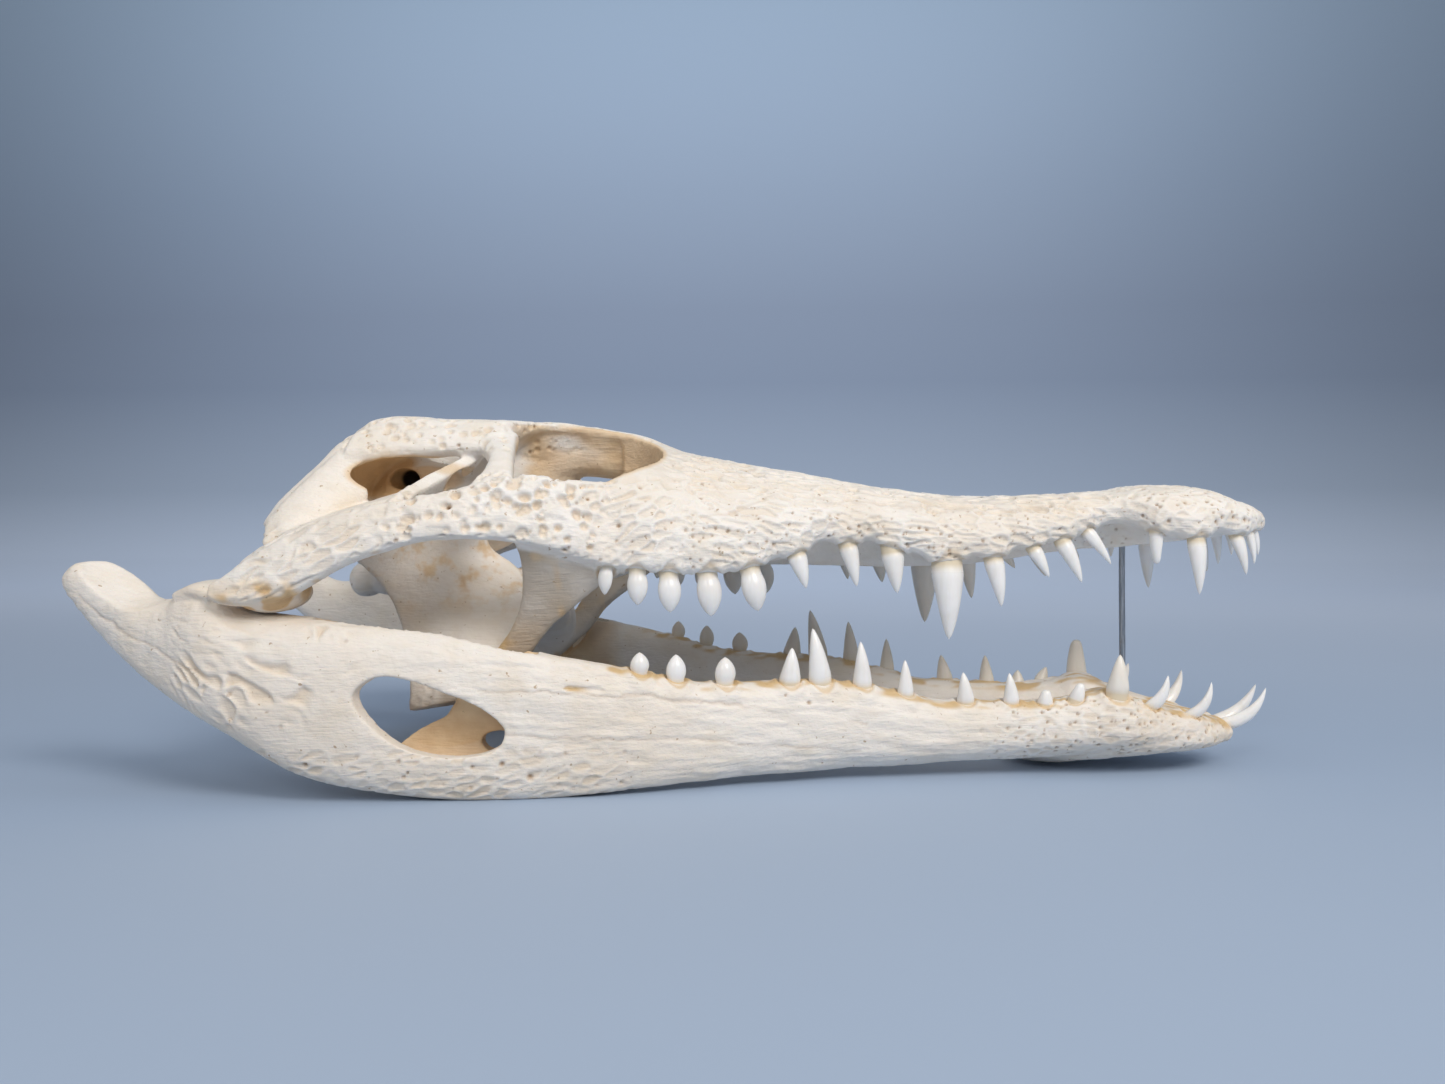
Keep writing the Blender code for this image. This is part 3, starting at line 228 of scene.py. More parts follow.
# Front of the jaw, where the two sides meet: x, half width, top, bottom.
SYMPHYSIS = (
    (146.5, 6, 13.8, 9.4), (141, 12, 16, 7.6), (130, 19, 18, 6), (116, 23, 20, 4.6),
    (104, 24, 20.8, 3.4), (94, 20.5, 19.6, 2), (86, 15, 17.4, 0.8), (79, 9.5, 14, 0.7),
    (73, 4.5, 10, 3),
)
POSTGLENOID = (
    ((-170.5, 50, 60.4), (-170.5, 78, 60.4), 5), ((-176, 51, 62), (-176, 77, 62), 6),
    ((-184, 53, 58.6), (-184, 74, 59.4), 6),
)
CORONOID = (
    ((-107, 57.5, 23), (-96, 56.5, 24), 3.2), ((-101, 57, 33), (-92, 56, 34), 3.2),
    ((-92, 58, 44), (-82, 57, 42), 3.6),
)
GLENOID_CUT = ((-158.0, 67.0, 63.5), (10.0, 20.0, 8.0), 0.0)
# Opening in the outer wall, as x and z round its rim, and how far in its cutter reaches.
FENESTRA = (
    (-127.5, 31), (-125, 35.4), (-118.5, 37.6), (-107, 34.6), (-95.1, 29.4), (-87, 23.6),
    (-85.6, 19), (-88.5, 15.6), (-97.5, 13.6), (-111.9, 15.8), (-122.2, 23),
)
FENESTRA_IN, FENESTRA_OUT = 63.0, 92.0
INNER_HOLE_CUT = ((-90.5, 55.0, 15.8), (5.5, 9.0, 3.4), 0.0)
# Hollow for the jaw muscle: edges of the trough low and high, width.
TROUGH = (
    ((-78, 59.5, 26), (-78, 59.5, 70), 5), ((-88, 61.5, 13), (-88, 61, 70), 7.5),
    ((-104, 64, 9), (-104, 62.5, 70), 9), ((-120, 66.5, 10.5), (-120, 64.5, 70), 10),
    ((-134, 68.5, 17), (-134, 66, 70), 9.5), ((-143, 69.5, 30), (-143, 67, 70), 6),
)
INNER_WALL_CUT = (
    ((-82, 56.5, 44), (-82, 40, 90), 22), ((-92, 58, 32), (-92, 40, 90), 22),
    ((-104, 59.5, 25), (-104, 40, 90), 24), ((-114, 60.5, 20), (-114, 40, 90), 24),
    ((-124, 61.5, 13.5), (-124, 42, 90), 24), ((-132, 62.5, 17), (-132, 42, 90), 22),
    ((-141, 63, 42), (-141, 44, 90), 16),
)
SPOON_CUT = (
    ((-219, 57, 77), (-219, 74.5, 67.6), 4), ((-213, 57, 74), (-213, 74.5, 62.6), 5.6),
    ((-206, 57.5, 70.4), (-206, 75, 58.6), 6.4), ((-199, 58.5, 66), (-199, 76, 56.6), 6.4),
    ((-192.5, 59.5, 63), (-192.5, 78, 57.4), 5), ((-187.5, 60, 64.5), (-187.5, 80, 60.5), 3),
)

# Teeth of the right side: x, distance in from the jaw's outer side, length out of the bone,
# thickness, lean of the tip forwards, lean outwards. Blunt teeth have a waist and a swollen crown.
UPPER_TEETH = (
    (154.6, 3.2, 8.6, 3.2, 1.2, 0.5), (151.4, 3.4, 11, 3.6, 1.2, 1),
    (145.2, 3.6, 12.9, 4.7, 2.6, 1), (129, 3.8, 17.3, 5.7, 0.5, 1.2),
    (114.5, 3.6, 10.2, 4.2, 0.3, 0.8), (95.9, 3.2, 13.6, 4.4, 7.4, 1),
    (87.6, 3.6, 14.4, 5.5, 5.6, 1), (77.4, 3.4, 10.2, 4.6, 4.5, 0.8),
    (64.1, 4.2, 15.2, 6.2, 2.2, 1), (48.6, 5.2, 23.9, 9.7, 0.3, 1.5),
    (30.5, 4.2, 13.1, 6.7, 1.6, 0.8), (17.2, 4, 13.2, 5.7, 2.7, 0.6), (1.5, 4, 10.8, 6, 2.9, 0.4),
    (-13.3, 4.6, 13.5, 7.4, 2.6, 0.3), (-26.3, 4.6, 13.6, 7.3, 1.4, 0.2),
    (-37.8, 4.4, 11.8, 6.7, 0.6, 0.2), (-47.7, 4.2, 10.6, 5.9, 0.2, 0.2),
    (-57.6, 1.8, 9, 4.4, -0.6, 0.2),
)
LOWER_TEETH = (
    (145.8, 2.8, 18.8, 5, 13.8, 0.5), (131.6, 4.4, 13.4, 4.4, 6, 1.5),
    (116.8, 4.8, 11.8, 4.6, 4.6, 1.5), (103.8, 5.4, 12.6, 6.8, 0.8, 0.6),
    (90.6, 5.2, 5.8, 4.6, 1.8, 0.4), (80.9, 5, 4.6, 4.8, 0.4, 0.4), (70.4, 5.4, 10, 5, -0.8, 0.4),
    (55.6, 5.6, 10, 5.4, -1, 0.4), (36, 5.8, 11.6, 5, -0.2, 0.3), (22.2, 6, 14.8, 5.9, -0.6, 0.3),
    (9.2, 6, 17.8, 7, -2.6, 0.2), (-0.6, 6, 11.2, 6.5, 0.8, 0.2), (-20.4, 6, 8.8, 6.3, 0, 0.2),
    (-35.1, 6, 8.8, 5.9, 0, 0.2), (-46, 6, 7, 5.5, 0, 0.2),
)
BLUNT_FROM_UPPER, BLUNT_FROM_LOWER = 13, 12
TOOTH_ROOT = 4.5
LEFT_SPREAD = 0.09

# Rod that keeps the mouth open.
ROD_X, ROD_RADIUS, ROD_LOW, ROD_HIGH = 112.0, 1.15, 14.0, 85.0


def new_collection(name):
    made = bpy.data.collections.new(name)
    bpy.context.scene.collection.children.link(made)
    return made


def at(rows, x):
    """The columns of a table at x, on a smooth line through its rows that never overshoots."""
    rows = sorted(rows)
    i = max(0, min(len(rows) - 2, sum(row[0] <= x for row in rows) - 1))
    low, high = rows[i], rows[i + 1]
    span = high[0] - low[0]
    t = min(1.0, max(0.0, (x - low[0]) / span))

    def slope(k, column):
        if k in (0, len(rows) - 1):
            return 0.0
        before = (rows[k][column] - rows[k - 1][column]) / (rows[k][0] - rows[k - 1][0])
        after = (rows[k + 1][column] - rows[k][column]) / (rows[k + 1][0] - rows[k][0])
        if before * after <= 0:
            return 0.0
        return 2 * before * after / (before + after)

    values = []
    for column in range(1, len(low)):
        start, end = slope(i, column) * span, slope(i + 1, column) * span
        values.append(
            (2 * t**3 - 3 * t**2 + 1) * low[column]
            + (t**3 - 2 * t**2 + t) * start
            + (3 * t**2 - 2 * t**3) * high[column]
            + (t**3 - t**2) * end
        )
    return values


def spread(rows, step):
    """Places along x from the first row of a table to its last, about a step apart."""
    first, last = rows[0][0], rows[-1][0]
    count = max(2, round(abs(last - first) / step))
    return [first + (last - first) * i / count for i in range(count + 1)]


def power(value, exponent):
    return math.copysign(abs(value) ** exponent, value)


def finished(mesh, name, collection):
    """An object with a mesh that was in work."""
    data = bpy.data.meshes.new(name)
    mesh.to_mesh(data)
    mesh.free()
    obj = bpy.data.objects.new(name, data)
    collection.objects.link(obj)
    return obj


def loft(name, sections, collection, side=1):
    """A closed body through sections, lists of as many points in millimetres each."""
    mesh = bmesh.new()
    rings = []
    for section in sections:
        rings.append([mesh.verts.new((x * MM, y * side * MM, z * MM)) for x, y, z in section])
    for first, second in zip(rings, rings[1:]):
        for i in range(len(first)):
            j = (i + 1) % len(first)
            mesh.faces.new((first[i], first[j], second[j], second[i]))
    for ring in (rings[0], rings[-1]):
        middle = mesh.verts.new(sum((v.co for v in ring), Vector()) / len(ring))
        for i in range(len(ring)):
            mesh.faces.new((ring[i], ring[(i + 1) % len(ring)], middle))
    bmesh.ops.recalc_face_normals(mesh, faces=mesh.faces)
    if mesh.calc_volume(signed=True) < 0:
        bmesh.ops.reverse_faces(mesh, faces=mesh.faces)
    return finished(mesh, name, collection)


def rounded_block(name, rows, collection, exponent=3.0, step=4.0):
    """A body along the middle plane from rows of x, half width, top and bottom."""
    sections = []
    for x in spread(rows, step):
        half, top, bottom = at(rows, x)
        sections.append(oval(x, 0.0, half, (top + bottom) / 2, (top - bottom) / 2, exponent))
    return loft(name, sections, collection)


def keel(collection):
    sections = []
    for x in spread(KEEL, 4.0):
        half, top, bottom = at(KEEL, x)
        side = [(half * u, bottom + (top - bottom) * v) for u, v in KEEL_SECTION]
        ring = [(x, y, z) for y, z in side]
        ring += [(x, -y, z) for y, z in reversed(side[1:])]
        sections.append(ring)
    return loft("keel", sections, collection)


def oval(x, y, half_width, z, half_height, exponent, points=28):
    """A section across X: a rectangle with corners as round as the exponent makes them."""
    section = []
    for i in range(points):
        turn = 2 * math.pi * i / points
        section.append(
            (
                x,
                y + half_width * power(math.cos(turn), 2 / exponent),
                z + half_height * power(math.sin(turn), 2 / exponent),
            )
        )
    return section


def plate(name, rows, collection, side=1, exponent=3.0):
    """A plate or bar of bone through rows of one edge, the other edge and the thickness."""
    table = [(i, *first, *second, thick) for i, (first, second, thick) in enumerate(rows)]
    count = (len(rows) - 1) * RINGS_A_SPAN
    stations = [at(table, i * (len(rows) - 1) / count) for i in range(count + 1)]
    edges = [(Vector(s[0:3]), Vector(s[3:6]), s[6]) for s in stations]
    sections = []
    for i, (first, second, thick) in enumerate(edges):
        before, after = edges[max(0, i - 1)], edges[min(count, i + 1)]
        ahead = (after[0] + after[1] - before[0] - before[1]).normalized()
        across = (second - first) / 2
        normal = across.cross(ahead).normalized() * thick / 2
        centre = (first + second) / 2
        ring = []
        for k in range(PLATE_POINTS):
            turn = 2 * math.pi * k / PLATE_POINTS
            ring.append(
                centre
                + across * power(math.cos(turn), 2 / exponent)
                + normal * power(math.sin(turn), 2 / exponent)
            )
        sections.append(ring)
    return loft(name, sections, collection, side)


def ball(name, centre, radii, collection, side=1, turn=0.0):
    """An ellipsoid, turned in degrees about Z."""
    mesh = bmesh.new()
    bmesh.ops.create_uvsphere(mesh, u_segments=BALL_POINTS, v_segments=BALL_POINTS // 2, radius=1.0)
    place = Matrix.Translation([c * MM for c in centre])
    turned = Matrix.Rotation(math.radians(turn), 4, "Z")
    shape = Matrix.Diagonal([r * MM for r in radii] + [1.0])
    mesh.transform(Matrix.Diagonal((1, side, 1, 1)) @ place @ turned @ shape)
    if side < 0:
        bmesh.ops.reverse_faces(mesh, faces=mesh.faces)
    return finished(mesh, name, collection)


def snout(collection):
    sections = []
    for x in spread(SNOUT, 3.0):
        half, top, margin, palate = at(SNOUT, x)
        side = min(margin + SIDE_RISE, top - 2.0)
        arc = []
        for i in range(DOME_STEPS + 1):
            turn = math.pi / 2 * i / DOME_STEPS
            across = half * math.sin(turn) ** (2 / DOME_POWER)
            up = side + (top - side) * max(0.0, math.cos(turn)) ** (2 / DOME_POWER)
            arc.append((across, up))
        inner = max(half - MARGIN_WIDTH, half * 0.45)
        arc += [
            (half - 0.1 * (half - inner), margin + 1.2),
            (half - 0.35 * (half - inner), margin),
            (half - 0.7 * (half - inner), margin + 0.3),
            (inner, max(palate, margin + 1.5) - 0.6),
            (inner * 0.6, palate),
            (0.0, palate + 0.3),
        ]
        ring = [(x, y, z) for y, z in arc]
        ring += [(x, -y, z) for y, z in reversed(arc[1:-1])]
        sections.append(ring)
    return loft("snout", sections, collection)


def skull_roof(collection):
    sections = []
    for x in spread(ROOF, 3.0):
        half, top, thick = at(ROOF, x)
        sections.append(oval(x, 0.0, half, top - thick / 2, thick / 2, 4.5, points=40))
    return loft("skull_roof", sections, collection)


def occiput(collection):
    sections = []
    for height, x, half, thick in OCCIPUT:
        section = oval(0.0, 0.0, half, 0.0, thick / 2, 3.5)
        sections.append([(x + across, y, height) for _, y, across in section])
    return loft("occiput", sections, collection)


def cranium_pieces(collection):
    """The bones of the upper skull, each a closed body that runs into its neighbours."""
    skull_roof(collection)
    keel(collection)
    rounded_block("braincase", BRAINCASE, collection, 2.2)
    rounded_block("skull_base", SKULL_BASE, collection, 2.4)
    rounded_block("palatine", PALATINE, collection, 3.0)
    occiput(collection)
    ball("occipital_condyle", OCCIPITAL_CONDYLE, (OCCIPITAL_RADIUS,) * 3, collection)
    ball("occipital_neck", OCCIPITAL_NECK, OCCIPITAL_NECK_RADII, collection)
    for word, side in SIDES:
        for name, rows in (
            ("cheek", CHEEK),
            ("postorbital", POSTORBITAL),
            ("table_shelf", TABLE_SHELF),
            ("quadrate", QUADRATE),
            ("squamosal", SQUAMOSAL),
            ("ear_back", EAR_BACK),
            ("pterygoid", PTERYGOID),
            ("pterygoid_floor", PTERYGOID_FLOOR),
            ("ectopterygoid", ECTOPTERYGOID),
            ("prefrontal", PREFRONTAL),
        ):
            plate(f"{name}_{word}", rows, collection, side)
        ball(f"condyle_{word}", CONDYLE_CENTRE, CONDYLE_RADII, collection, side)


def snout_cutters(collection):
    """What is cut from the snout before the bones behind it are joined on."""
    for word, side in SIDES:
        for name, (centre, radii, turn) in (
            ("orbit_cut", ORBIT_CUT),
            ("orbit_deep_cut", ORBIT_DEEP_CUT),
            ("palate_cut", PALATE_CUT),
            ("nasal_cut", NASAL_CUT),
        ):
            ball(f"{name}_{word}", centre, radii, collection, side, turn)
    ball("naris_cut", NARIS_CUT[0], NARIS_CUT[1], collection)
    ball("incisive_cut", INCISIVE_CUT[0], INCISIVE_CUT[1], collection)


def cranium_cutters(collection):
    """What is cut from the joined bones."""
    for word, side in SIDES:
        for name, (centre, radii, turn) in (
            ("temporal_cut", TEMPORAL_CUT),
            ("ear_cut", EAR_CUT),
            ("ear_pocket_cut", EAR_POCKET_CUT),
        ):
            ball(f"{name}_{word}", centre, radii, collection, side, turn)
    ball("left_window_cut", LEFT_WINDOW_CUT[0], LEFT_WINDOW_CUT[1], collection)
    ball("spinal_cut", SPINAL_CUT[0], SPINAL_CUT[1], collection)
    ball("choana_cut", CHOANA_CUT[0], CHOANA_CUT[1], collection)


def ramus(collection, side):
    sections = []
    for x in spread(RAMUS, 3.5):
        outer, width, top, bottom = at(RAMUS, x)
        centre, half_height = (top + bottom) / 2, (top - bottom) / 2
        tuck = TUCK * min(1.0, max(0.0, (x - TUCK_FROM) / (TUCK_TO - TUCK_FROM)))
        ring = []
        for _, y, z in oval(x, outer - width / 2, width / 2, centre, half_height, RAMUS_POWER):
            under = max(0.0, (centre - z) / half_height)
            ring.append((x, y, z + tuck * under * (1 - (outer - y) / width) ** 2))
        sections.append(ring)
    return loft("ramus", sections, collection, side)


def rounded(points, steps=3):
    """A closed outline with more points, on a curve through the given ones."""
    curve = []
    for i, here in enumerate(points):
        before, after, last = points[i - 1], points[(i + 1) % len(points)], points[(i + 2) % len(points)]
        for k in range(steps):
            t = k / steps
            curve.append(
                tuple(
                    b + t * (c - a) / 2 + t**2 * (a - 2.5 * b + 2 * c - d / 2)
                    + t**3 * (1.5 * b - 1.5 * c + d / 2 - a / 2)
                    for a, b, c, d in zip(before, here, after, last)
                )
            )
    return curve


def ramus_pieces(collection, side):
    rounded_block("symphysis", SYMPHYSIS, collection, 2.6)
    plate("postglenoid", POSTGLENOID, collection, side)


def ramus_cutters(collection, side):
    ball("glenoid_cut", GLENOID_CUT[0], GLENOID_CUT[1], collection, side)
    rims = [[(x, y, z) for x, z in rounded(FENESTRA)] for y in (FENESTRA_IN, FENESTRA_OUT)]
    loft("fenestra_cut", rims, collection, side)
    ball("inner_hole_cut", INNER_HOLE_CUT[0], INNER_HOLE_CUT[1], collection, side)
    plate("trough_cut", TROUGH, collection, side, 4.0)
    plate("inner_wall_cut", INNER_WALL_CUT, collection, side, 4.0)
    plate("spoon_cut", SPOON_CUT, collection, side, 2.2)


def box(name, low, high, collection):
    mesh = bmesh.new()
    bmesh.ops.create_cube(mesh, size=1.0)
    middle = [(a + b) / 2 * MM for a, b in zip(low, high)]
    sizes = [(b - a) * MM for a, b in zip(low, high)]
    mesh.transform(Matrix.Translation(middle) @ Matrix.Diagonal(sizes + [1.0]))
    return finished(mesh, name, collection)


def add_boolean(obj, operation, collection):
    modifier = obj.modifiers.new(operation.lower(), "BOOLEAN")
    modifier.operation = operation
    modifier.operand_type = "COLLECTION"
    modifier.collection = collection
    modifier.solver = "MANIFOLD"


def apply_modifiers(obj):
    """Gives the object its evaluated mesh and takes its modifiers away."""
    graph = bpy.context.evaluated_depsgraph_get()
    data = bpy.data.meshes.new_from_object(obj.evaluated_get(graph))
    obj.modifiers.clear()
    obj.data = data


def use(obj, operation, collection):
    """Joins or cuts obj with a collection's objects, and removes them."""
    add_boolean(obj, operation, collection)
    apply_modifiers(obj)
    for used in list(collection.objects):
        bpy.data.objects.remove(used)
    bpy.data.collections.remove(collection)


def keep_largest_body(obj):
    """Drops what a cut left loose, and the inner skin of a hollow that a union sealed."""
    mesh = bmesh.new()
    mesh.from_mesh(obj.data)
    left = set(mesh.faces)
    bodies = []
    while left:
        body, edge = set(), {left.pop()}
        while edge:
            face = edge.pop()
            body.add(face)
            near = {f for e in face.edges for f in e.link_faces if f in left}
            left -= near
            edge |= near
        bodies.append(body)
    bodies.sort(key=lambda body: sum(face.calc_area() for face in body))
    for body in bodies[:-1]:
        bmesh.ops.delete(mesh, geom=list(body), context="FACES")
    loose = [v for v in mesh.verts if not v.link_faces]
    bmesh.ops.delete(mesh, geom=loose, context="VERTS")
    mesh.to_mesh(obj.data)
    mesh.free()


def rod_shape(name, collection, grow=0.0):
    """The rod, or with a little growth the cutter of the sockets for its ends."""
    radius, low, high = ROD_RADIUS + grow, ROD_LOW - grow, ROD_HIGH + grow
    mesh = bmesh.new()
    bmesh.ops.create_cone(
        mesh,
        cap_ends=True,
        segments=16,
        radius1=radius * MM,
        radius2=radius * MM,
        depth=(high - low) * MM,
    )
    mesh.transform(Matrix.Translation((ROD_X * MM, 0.0, (high + low) / 2 * MM)))
    return finished(mesh, name, collection)


# How finely the bones are worked: size of a voxel, and how far the joints between them melt.
FINE = 0.53
MELT = 1.1
CROWN_SIDES, CROWN_RINGS = ((28, 24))

# Outlines of teeth: share of the length from the gum line, share of the thickness.
SHARP = (
    (0.0, 0.97), (0.12, 1.0), (0.3, 0.89), (0.5, 0.73),
    (0.7, 0.53), (0.87, 0.31), (0.96, 0.15), (1.0, 0.03),
)
BLUNT = (
    (0.0, 0.84), (0.1, 0.82), (0.2, 0.87), (0.31, 0.97), (0.42, 1.0),
    (0.57, 0.95), (0.74, 0.76), (0.88, 0.47), (0.96, 0.23), (1.0, 0.04),
)
WORN = ((0.0, 1.0), (0.3, 0.92), (0.6, 0.75), (0.85, 0.57), (0.94, 0.43), (0.985, 0.24), (1.0, 0.06))
# Teeth with worn tips, and teeth that curl upwards, by jaw, side and place in the row.
WORN_TEETH = {("upper", "right", 4), ("lower", "right", 4), ("lower", "right", 5), ("lower", "left", 3)}
CURL = {0: 0.5, 1: 0.42, 2: 0.34}
# Least share of the neck's brown on a tooth that is brown all over: the yellowed lower fourth tooth, and
# the far side's rear teeth, which are browned as painted shade.
TOOTH_BROWN_AND_SHADE = 0.35
# Lower edge of the cheek, as heights at places along it.
CHEEK_LOW = ((-108, -97, -88, -80, -71, -60, -48, -28), (76.6, 77.2, 76.8, 75.6, 73.2, 69.8, 68.5, 70.0))

# Seams between bones that show on the outer side, as x and z.
CRANIUM_SEAMS = (
    ((-70, 68), (-66.4, 69.5), (-58.8, 74), (-46.8, 78.5), (-31.8, 83), (-19.8, 85.3), (-8, 91)),
    ((-8, 91), (10, 89), (34, 88), (60, 86), (84, 88), (100, 93)),
)
RAMUS_SEAMS = (
    ((-217.3, 60), (-208.8, 54), (-197.3, 47.6), (-188.9, 45.3), (-181.2, 41.2), (-170.7, 38)),
    ((-93, 33.4), (-87.6, 32.7), (-69.6, 31.7), (-45.9, 30.2), (-28.2, 26.9)),
    ((-51.4, 31.3), (-29.7, 27.8), (-17.4, 26.1), (0.9, 21.5), (22, 19)),
    ((-86, 20), (-71, 19), (-46.8, 17.3), (-28.8, 16.1), (-6, 13), (20, 10)),
)


def read(items, name):
    values = np.empty(len(items) * 3, dtype=np.float32)
    items.foreach_get(name, values)
    return values.reshape(-1, 3).astype(float)


def ramp(value, low, high):
    """0 up to low and 1 from high, with a smooth rise between."""
    t = np.clip((value - low) / (high - low), 0.0, 1.0)
    return t * t * (3 - 2 * t)


def window(value, low, high, soft):
    return ramp(value, low - soft, low + soft) * (1 - ramp(value, high - soft, high + soft))


def hashed(cell, seed):
    """A random share from 0 to 1 for each whole-numbered cell."""
    mixed = cell[:, 0] * 73856093 ^ cell[:, 1] * 19349663 ^ cell[:, 2] * 83492791 ^ seed * 297121507
    mixed = (mixed ^ (mixed >> 15)) * 2246822519 & 0xFFFFFFFF
    mixed = (mixed ^ (mixed >> 13)) * 3266489917 & 0xFFFFFFFF
    return (mixed ^ (mixed >> 16)) / 0xFFFFFFFF


def noise(p, seed):
    """Smooth random values from -1 to 1, with a bump about every unit."""
    low = np.floor(p).astype(np.int64)
    t = p - low
    t = t * t * (3 - 2 * t)
    total = np.zeros(len(p))
    for corner in itertools.product((0, 1), repeat=3):
        weight = np.prod(np.where(corner, t, 1 - t), axis=1)
        total += weight * hashed(low + corner, seed)
    return 2 * total - 1


def cells(p, seed):
    """Distances to the nearest two of scattered points, and two shares of the nearest's own."""
    low = np.floor(p).astype(np.int64)
    first = np.full(len(p), 9.0)
    second, share, other = first.copy(), first.copy(), first.copy()
    for corner in itertools.product((-1, 0, 1), repeat=3):
        cell = low + corner
        spot = [hashed(cell, seed + k) for k in range(3)]
        far = np.sqrt(sum((p[:, k] - cell[:, k] - spot[k]) ** 2 for k in range(3)))
        closer = far < first
        second = np.where(closer, first, np.minimum(second, far))
        share = np.where(closer, spot[0], share)
        other = np.where(closer, (spot[1] * 7) % 1, other)
        first = np.where(closer, far, first)
    return first, second, share, other


def where(weight, pattern, p):
    """A pattern at the points whose weight isn't zero, times the weight."""
    values = np.zeros(len(weight))
    there = weight > 0.01
    if there.any():
        values[there] = pattern(p[there]) * weight[there]
    return values


def pits(size, seed, warp=0.25, wall=0.5):
    """Bowls between rounded walls: 0 on the walls and 1 in the deepest bowl."""

    def pattern(p):
        q = p / np.array(size)
        q = q + warp * np.stack([noise(p / 6, seed + 11 + k) for k in range(3)], axis=1)
        first, second, share, _ = cells(q, seed)
        return ramp(second - first, 0.06, wall) * (0.3 + 0.7 * share)

    return pattern


def bowls(size, seed, wide=0.62, warp=0.2):
    """Round pits of mixed size that nearly touch: 0 between them and 1 in the deepest."""

    def pattern(p):
        q = p / np.array(size)
        q = q + warp * np.stack([noise(p / 5, seed + 11 + k) for k in range(3)], axis=1)
        first, _, share, other = cells(q, seed)
        size_here = wide * (0.55 + 0.6 * share)
        return (1 - ramp(first / size_here, 0.45, 1.0)) * (0.5 + 0.5 * other)

    return pattern


def pores(spacing, radius, seed):
    """Small round holes: 1 in the middle of one and 0 outside."""

    def pattern(p):
        first, _, share, other = cells(p / spacing, seed)
        size = radius / spacing * (0.65 + 0.7 * share)
        return np.clip(1 - (first / size) ** 2, 0, 1) * (other < 0.8)

    return pattern


def reach(p, cutter):
    """How far points lie from the middle of a rounded cutter, 1 on its surface."""
    centre, radii, turn = cutter
    a = math.radians(turn)
    dx, dy, dz = (p[:, k] - centre[k] for k in range(3))
    along = dx * math.cos(a) + dy * math.sin(a)
    across = dy * math.cos(a) - dx * math.sin(a)
    return np.sqrt((along / radii[0]) ** 2 + (across / radii[1]) ** 2 + (dz / radii[2]) ** 2)


def hollow(p, cutters, low=1.05, high=1.2):
    found = np.zeros(len(p))
    for cutter in cutters:
        found = np.maximum(found, 1 - ramp(reach(p, cutter), low, high))
    return found


def seams(p, lines):
    """Distance from points, seen from the side, to the nearest of several lines."""
    q = p[:, (0, 2)] + 0.9 * np.stack([noise(p / 3.1, 61), noise(p / 3.1, 62)], axis=1)
    nearest = np.full(len(p), 99.0)
    for line in lines:
        for first, second in zip(line, line[1:]):
            start, way = np.array(first, float), np.subtract(second, first).astype(float)
            t = np.clip((q - start) @ way / (way @ way), 0, 1)
            gap = np.linalg.norm(q - start - t[:, None] * way, axis=1)
            nearest = np.minimum(nearest, gap)
    return nearest


def tooth_places(jaw, word, side):
    """Base, tip, outward direction and thickness of the teeth of one side of one jaw."""
    upper = jaw == "upper"
    rows = UPPER_TEETH if upper else LOWER_TEETH
    table, down = (SNOUT, -1) if upper else (RAMUS, 1)
    chance = random.Random(f"{jaw} {word}")
    places = []
    for x, inset, length, thick, forward, outward in rows:
        if word == "left":
            x += chance.uniform(-1.0, 1.0)
            length *= 1 + chance.uniform(-LEFT_SPREAD, LEFT_SPREAD)
            forward += chance.uniform(-0.8, 0.8)
        columns = at(table, x)
        edge = columns[2] if upper else columns[2] - 0.8
        ahead = at(table, x + 1.0)[0] - at(table, x - 1.0)[0]
        normal = Vector((-ahead, 2.0, 0.0)).normalized()
        base = Vector((x, columns[0], edge)) - normal * inset
        lean = normal * outward + Vector((forward, 0.0, 0.0))
        tip = base + lean + Vector((0.0, 0.0, down * math.sqrt(length**2 - lean.length**2)))
        mirror = Matrix.Diagonal((1, side, 1))
        places.append((mirror @ base, mirror @ tip, mirror @ normal, thick))
    return places


def sockets(p, places):
    """The swollen rim round each tooth, and the gap between it and the tooth, which gets amber staining
    and painted shade.
    """
    rim, gap = np.zeros(len(p)), np.zeros(len(p))
    for base, tip, _, thick in places:
        near = np.nonzero(np.abs(p - np.array(base)).max(axis=1) < thick * 1.3 + 4)[0]
        if not len(near):
            continue
        axis = np.array((tip - base).normalized())
        off = p[near] - np.array(base)
        along = off @ axis
        far = np.linalg.norm(off - along[:, None] * axis, axis=1) - thick / 2
        close = 1 - ramp(np.abs(along), 2.5, 6.0)
        rim[near] = np.maximum(rim[near], np.exp(-(((far - 1.3) / 1.2) ** 2)) * close)
        gap[near] = np.maximum(gap[near], (1 - ramp(np.abs(far - 0.2), 0.2, 0.8)) * close)
    return rim, gap


